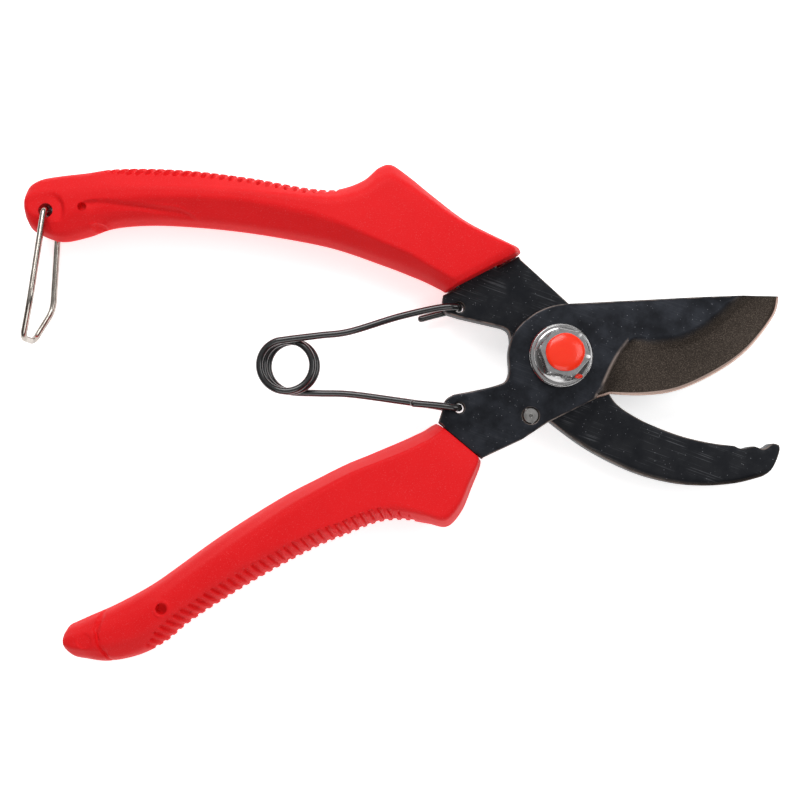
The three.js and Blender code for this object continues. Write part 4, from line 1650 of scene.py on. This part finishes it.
def joined(name: str, pieces: list[bpy.types.Object]) -> bpy.types.Object:
    """Several meshes as one object.

    Args:
        name: The new object's name.
        pieces: The objects; they are removed.

    Returns:
        The new object.
    """
    points, faces, start = [], [], 0
    for piece in pieces:
        mesh = piece.data
        flat = np.empty(len(mesh.vertices) * 3, np.float32)
        mesh.vertices.foreach_get("co", flat)
        points.append(flat.reshape(-1, 3) / MM)
        faces += [np.array([[v + start for v in p.vertices]]) for p in mesh.polygons]
        start += len(mesh.vertices)
        bpy.data.objects.remove(piece)
    return make_mesh(name, np.vstack(points), faces, crease=60)


# ---- wires -----------------------------------------------------------------------------------------


@dataclass
class Spring:
    """The torsion spring: two rigid halves of one coil, nested where the coil's wire lies at its top."""

    wire_r: float = 0.875
    coil: tuple = (-68.5, -2.2)
    coil_r: float = 6.35
    turns: float = 2.5
    front_z: float = 11.1
    rear_z: float = 6.0
    lean: float = 0.9
    front_hook: tuple = (-24.8, 12.7)
    rear_hook: tuple = (-25.1, -12.9)
    split: float = 0.4  # part of the coil that belongs to the front half
    lap: float = 0.017
    nest: float = 0.985

    def run(self, start: float, end: float, scale: float = 1.0) -> np.ndarray:
        """Points along the coil: a circle that leans and sinks as it turns.

        Args:
            start: Part of the coil to start at, from 0 at its front to 1 at its rear.
            end: Part to end at.
            scale: Scale of the coil's radius.

        Returns:
            Rows of x, y, z.
        """
        part = np.linspace(start, end, int(abs(end - start) * self.turns * 72))
        angle = np.pi / 2 + 2 * np.pi * self.turns * part
        x = self.coil[0] + self.lean * self.turns * part + self.coil_r * scale * np.cos(angle)
        y = self.coil[1] + self.coil_r * scale * np.sin(angle)
        return np.stack([x, y, self.front_z + (self.rear_z - self.front_z) * part], axis=1)

    def wire(self, name: str, leg: np.ndarray, coil: np.ndarray, leg_first: bool) -> bpy.types.Object:
        """A half of the spring as one tube.

        Args:
            name: The object's name.
            leg: Points that its leg passes through.
            coil: Points along its part of the coil.
            leg_first: Whether the leg comes before the coil.

        Returns:
            The wire.
        """
        keys = np.vstack([leg, coil[:12:4]] if leg_first else [coil[-12::4], leg])
        dense = swept(keys, len(keys) * 24)
        stop = np.argmin(np.linalg.norm(dense - coil[8 if leg_first else -9], axis=1))
        path = np.vstack([dense[:stop], coil[8:]] if leg_first else [coil[:-8], dense[stop + 1 :]])
        return tube(name, spaced(path, 0.3), self.wire_r, (0.3, 0.5, 0.8), 22)

    def build_front(self) -> bpy.types.Object:
        """From its hooked tail behind the counter blade to the middle of the coil."""
        x, y = self.front_hook
        leg = np.array([
            (x - 9.4, y - 2.0, 2.1), (x - 4.5, y - 0.7, 2.1), (x - 1.4, y, 2.15),
            (x - 0.3, y, 2.75), (x, y, 4.3),
            (x, y, 7.5), (x - 0.3, y, 9.0), (x - 1.4, y, 9.6), (x - 4.5, y - 0.2, 9.7),
            (x - 14.8, y - 2.5, 10.0),
            (x - 28.2, y - 6.6, 10.6), (x - 34.8, y - 7.4, 10.8),
        ])
        return self.wire("spring_front_half", leg, self.run(0, self.split + self.lap), True)

    def build_rear(self) -> bpy.types.Object:
        """From the middle of the coil to its hooked tail in front of the cutting blade."""
        x, y = self.rear_hook
        leg = np.array([
            (x - 35.0, y + 4.1, 6.2), (x - 28.0, y + 3.9, 6.5), (x - 14.5, y + 2.1, 7.0),
            (x - 4.5, y + 0.6, 7.35),
            (x - 1.4, y, 7.4), (x - 0.3, y, 8.0), (x, y, 9.5), (x, y, 12.2), (x - 0.3, y, 13.7),
            (x - 1.4, y, 14.3),
            (x - 4.5, y + 0.4, 14.35), (x - 11.2, y + 1.0, 14.35),
        ])
        coil = self.run(self.split - self.lap, 1.0)
        part = np.linspace(0, 1, len(coil))
        x = np.interp(part, [0, 1], self.coil[0] + self.lean * np.array([1, self.turns]))
        centre = np.column_stack([x, np.full(len(coil), self.coil[1]), coil[:, 2]])
        coil = coil + (centre - coil) * smooth(0.12, 0.0, part)[:, None] * (1 - self.nest)
        return self.wire("spring_rear_half", leg, coil, False)


@dataclass
class Catch:
    """The wire catch: a kinked loop whose two ends meet in the grip's hinge hole."""

    wire_r: float = 0.8
    hinge: tuple = (-127.8, 36.3)
    kink: tuple = (-129.7, 13.3)
    foot: tuple = (-132.9, 4.5)
    leg_up: float = 6.0
    kink_up: float = 9.0
    foot_up: float = 4.0
    bends: tuple = (1.3, 2.6, 2.0, 2.0, 2.6, 1.3)

    def build(self) -> bpy.types.Object:
        """The loop as one tube through its rounded corners."""
        half = [
            (*self.hinge, 0.1), (*self.hinge, self.leg_up), (*self.kink, self.kink_up),
            (*self.foot, self.foot_up),
        ]
        corners = np.array([*half, *[(x, y, -z) for x, y, z in half[::-1]]]) + [0, 0, MIDDLE]
        path = spaced(softened(corners, self.bends, 16), 0.25)
        return tube("catch_bail", path, self.wire_r, (1, 0, 0), 22)


# ---- studio ----------------------------------------------------------------------------------------


@dataclass
class Studio:
    """Pale floor, even white room, large soft lights and the camera over the tool."""

    camera_at: tuple = (-0.03964, -0.03003, 0.28560)
    tilt: float = 4.0
    lens: float = 50.0
    floor_z: float = -1.35
    floor_half: float = 4000.0
    bright_side: tuple = (-0.05, 0.45, 0.85)
    dim: tuple = (0.20, 0.195, 0.19)
    white: tuple = (1.0, 1.0, 1.0)
    glow: float = 0.5
    floor_glow: float = 0.62

    def build(self) -> None:
        """The floor, world, lights and camera."""
        x = np.array([-1, 1, 1, -1]) * self.floor_half
        y = np.array([-1, -1, 1, 1]) * self.floor_half
        corners = np.column_stack([x, y, np.full(4, self.floor_z)])
        floor = make_mesh("floor", corners, [np.array([[0, 1, 2, 3]])])
        floor.data.materials.append(Paint("floor_white").surface(
            Base_Color=(0.95, 0.95, 0.95, 1.0), Roughness=0.9, Emission_Color=(1.0, 1.0, 1.0, 1.0),
            Emission_Strength=self.floor_glow,
        ))
        world = bpy.data.worlds.new("room")
        bpy.context.scene.world = world
        room = Paint("room", world)
        x, y, z = (
            Amount(room, room.node("ShaderNodeSeparateXYZ", {}, {0: room.place}, k)) for k in range(3)
        )
        high = x * self.bright_side[0] + y * self.bright_side[1] + z * self.bright_side[2]
        glow = room.blend(self.dim, self.white, high.ease(0.30, 0.90))
        sky = room.node("ShaderNodeBackground", {}, {"Color": glow, "Strength": self.glow})
        ending = room.tree.nodes.new("ShaderNodeOutputWorld")
        room.tree.links.new(sky, ending.inputs["Surface"])
        self.light("key", (-0.10, 0.27, 0.30), (-0.03, 0.0, 0.0), 0.24, 0.85)
        self.light("front", (-0.06, -0.34, 0.30), (-0.06, 0.0, 0.0), 0.30, 0.55)
        self.light("fill", (0.26, 0.06, 0.36), (-0.02, 0.0, 0.0), 0.22, 0.4)
        camera = bpy.data.cameras.new("camera")
        camera.lens = self.lens
        camera.sensor_width = 36
        camera.clip_start = 0.01
        holder = bpy.data.objects.new("camera", camera)
        holder.location = self.camera_at
        holder.rotation_euler = (np.radians(self.tilt), 0, 0)
        bpy.context.scene.collection.objects.link(holder)
        bpy.context.scene.camera = holder

    def light(
        self, name: str, place: Sequence[float], aim: Sequence[float], size: float, power: float
    ) -> None:
        """A square soft light.

        Args:
            name: The lamp's name.
            place: Where it is, in metres.
            aim: The point that it faces.
            size: Its side in metres.
            power: Its power in watts.
        """
        lamp = bpy.data.lights.new(name, "AREA")
        lamp.size = size
        lamp.energy = power
        holder = bpy.data.objects.new(name, lamp)
        holder.location = place
        holder.rotation_euler = (Vector(aim) - Vector(place)).to_track_quat("-Z", "Y").to_euler()
        bpy.context.scene.collection.objects.link(holder)


def fit(piece: bpy.types.Object, body: str, slot: str, finish: bpy.types.Material, *nodes: str) -> None:
    """Dresses a piece, sets it on its body and hides the CAD's nodes that it stands for.

    Args:
        piece: The finished mesh.
        body: The body that it moves with.
        slot: The slot of its finish; not used.
        finish: The material.
        nodes: The CAD's nodes that it replaces.
    """
    piece.data.materials.clear()
    piece.data.materials.append(finish)
    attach(piece, body)
    if nodes:
        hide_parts(*nodes)
    LOG.info("%s: %d faces on %s", piece.name, len(piece.data.polygons), body)


def main() -> None:
    """Builds the shears in order: levers, grips, pivot, spring, catch, then the studio."""
    logging.basicConfig(level=logging.INFO, format="%(message)s")
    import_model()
    red = RedPlastic().make()
    blued = BluedSteel().make()
    hook_steel = BluedSteel(name="blued_steel_hook", scratched=0.22, cloudy=(0.020, 0.021, 0.024)).make()
    zinc = BrightMetal("zinc", (0.52, 0.52, 0.53), (0.34, 0.33, 0.325), 0.16).make()
    fit(CounterBlade().build(), "counter_lever", "blued_steel", hook_steel, "counter_blade")
    fit(CuttingBlade().build(), "cutting_lever", "blued_steel", blued, "cutting_blade")
    fit(CounterGrip().build(), "counter_lever", "red_plastic", red, "counter_grip")
    fit(CutterGrip().build(), "cutting_lever", "red_plastic", red, "cutter_grip")
    pivot = Pivot()
    fit(pivot.build_bolt(), "counter_lever", "zinc_steel", zinc, "pivot_bolt")
    fit(pivot.build_washer(), "counter_lever", "zinc_steel", zinc, "front_washer")
    fit(pivot.build_nut(), "counter_lever", "zinc_steel", zinc, "pivot_nut")
    lacquer = Lacquer().make()
    fit(pivot.build_lacquer(), "counter_lever", "locking_lacquer", lacquer, "nut_lacquer")
    fit(pivot.build_drips(), "counter_lever", "locking_lacquer", lacquer)
    steel = BrightMetal("rivet_steel", (0.42, 0.41, 0.40), (0.17, 0.165, 0.16), 0.28, turned_at=pivot.rivet)
    fit(pivot.build_rivet(), "cutting_lever", "rivet_steel", steel.make(), "stop_rivet")
    spring, wire = Spring(), SpringWire().make()
    fit(spring.build_front(), "spring_front", "spring_wire", wire, "torsion_spring_front_half")
    fit(spring.build_rear(), "spring_rear", "spring_wire", wire, "torsion_spring_rear_half")
    nickel = BrightMetal("nickel_wire", (0.56, 0.52, 0.47), (0.30, 0.26, 0.23), 0.14).make()
    fit(Catch().build(), "catch", "nickel_wire", nickel, "catch_bail")
    Studio().build()
    bpy.context.scene.view_settings.view_transform = "Standard"


if __name__ == "__main__":
    main()
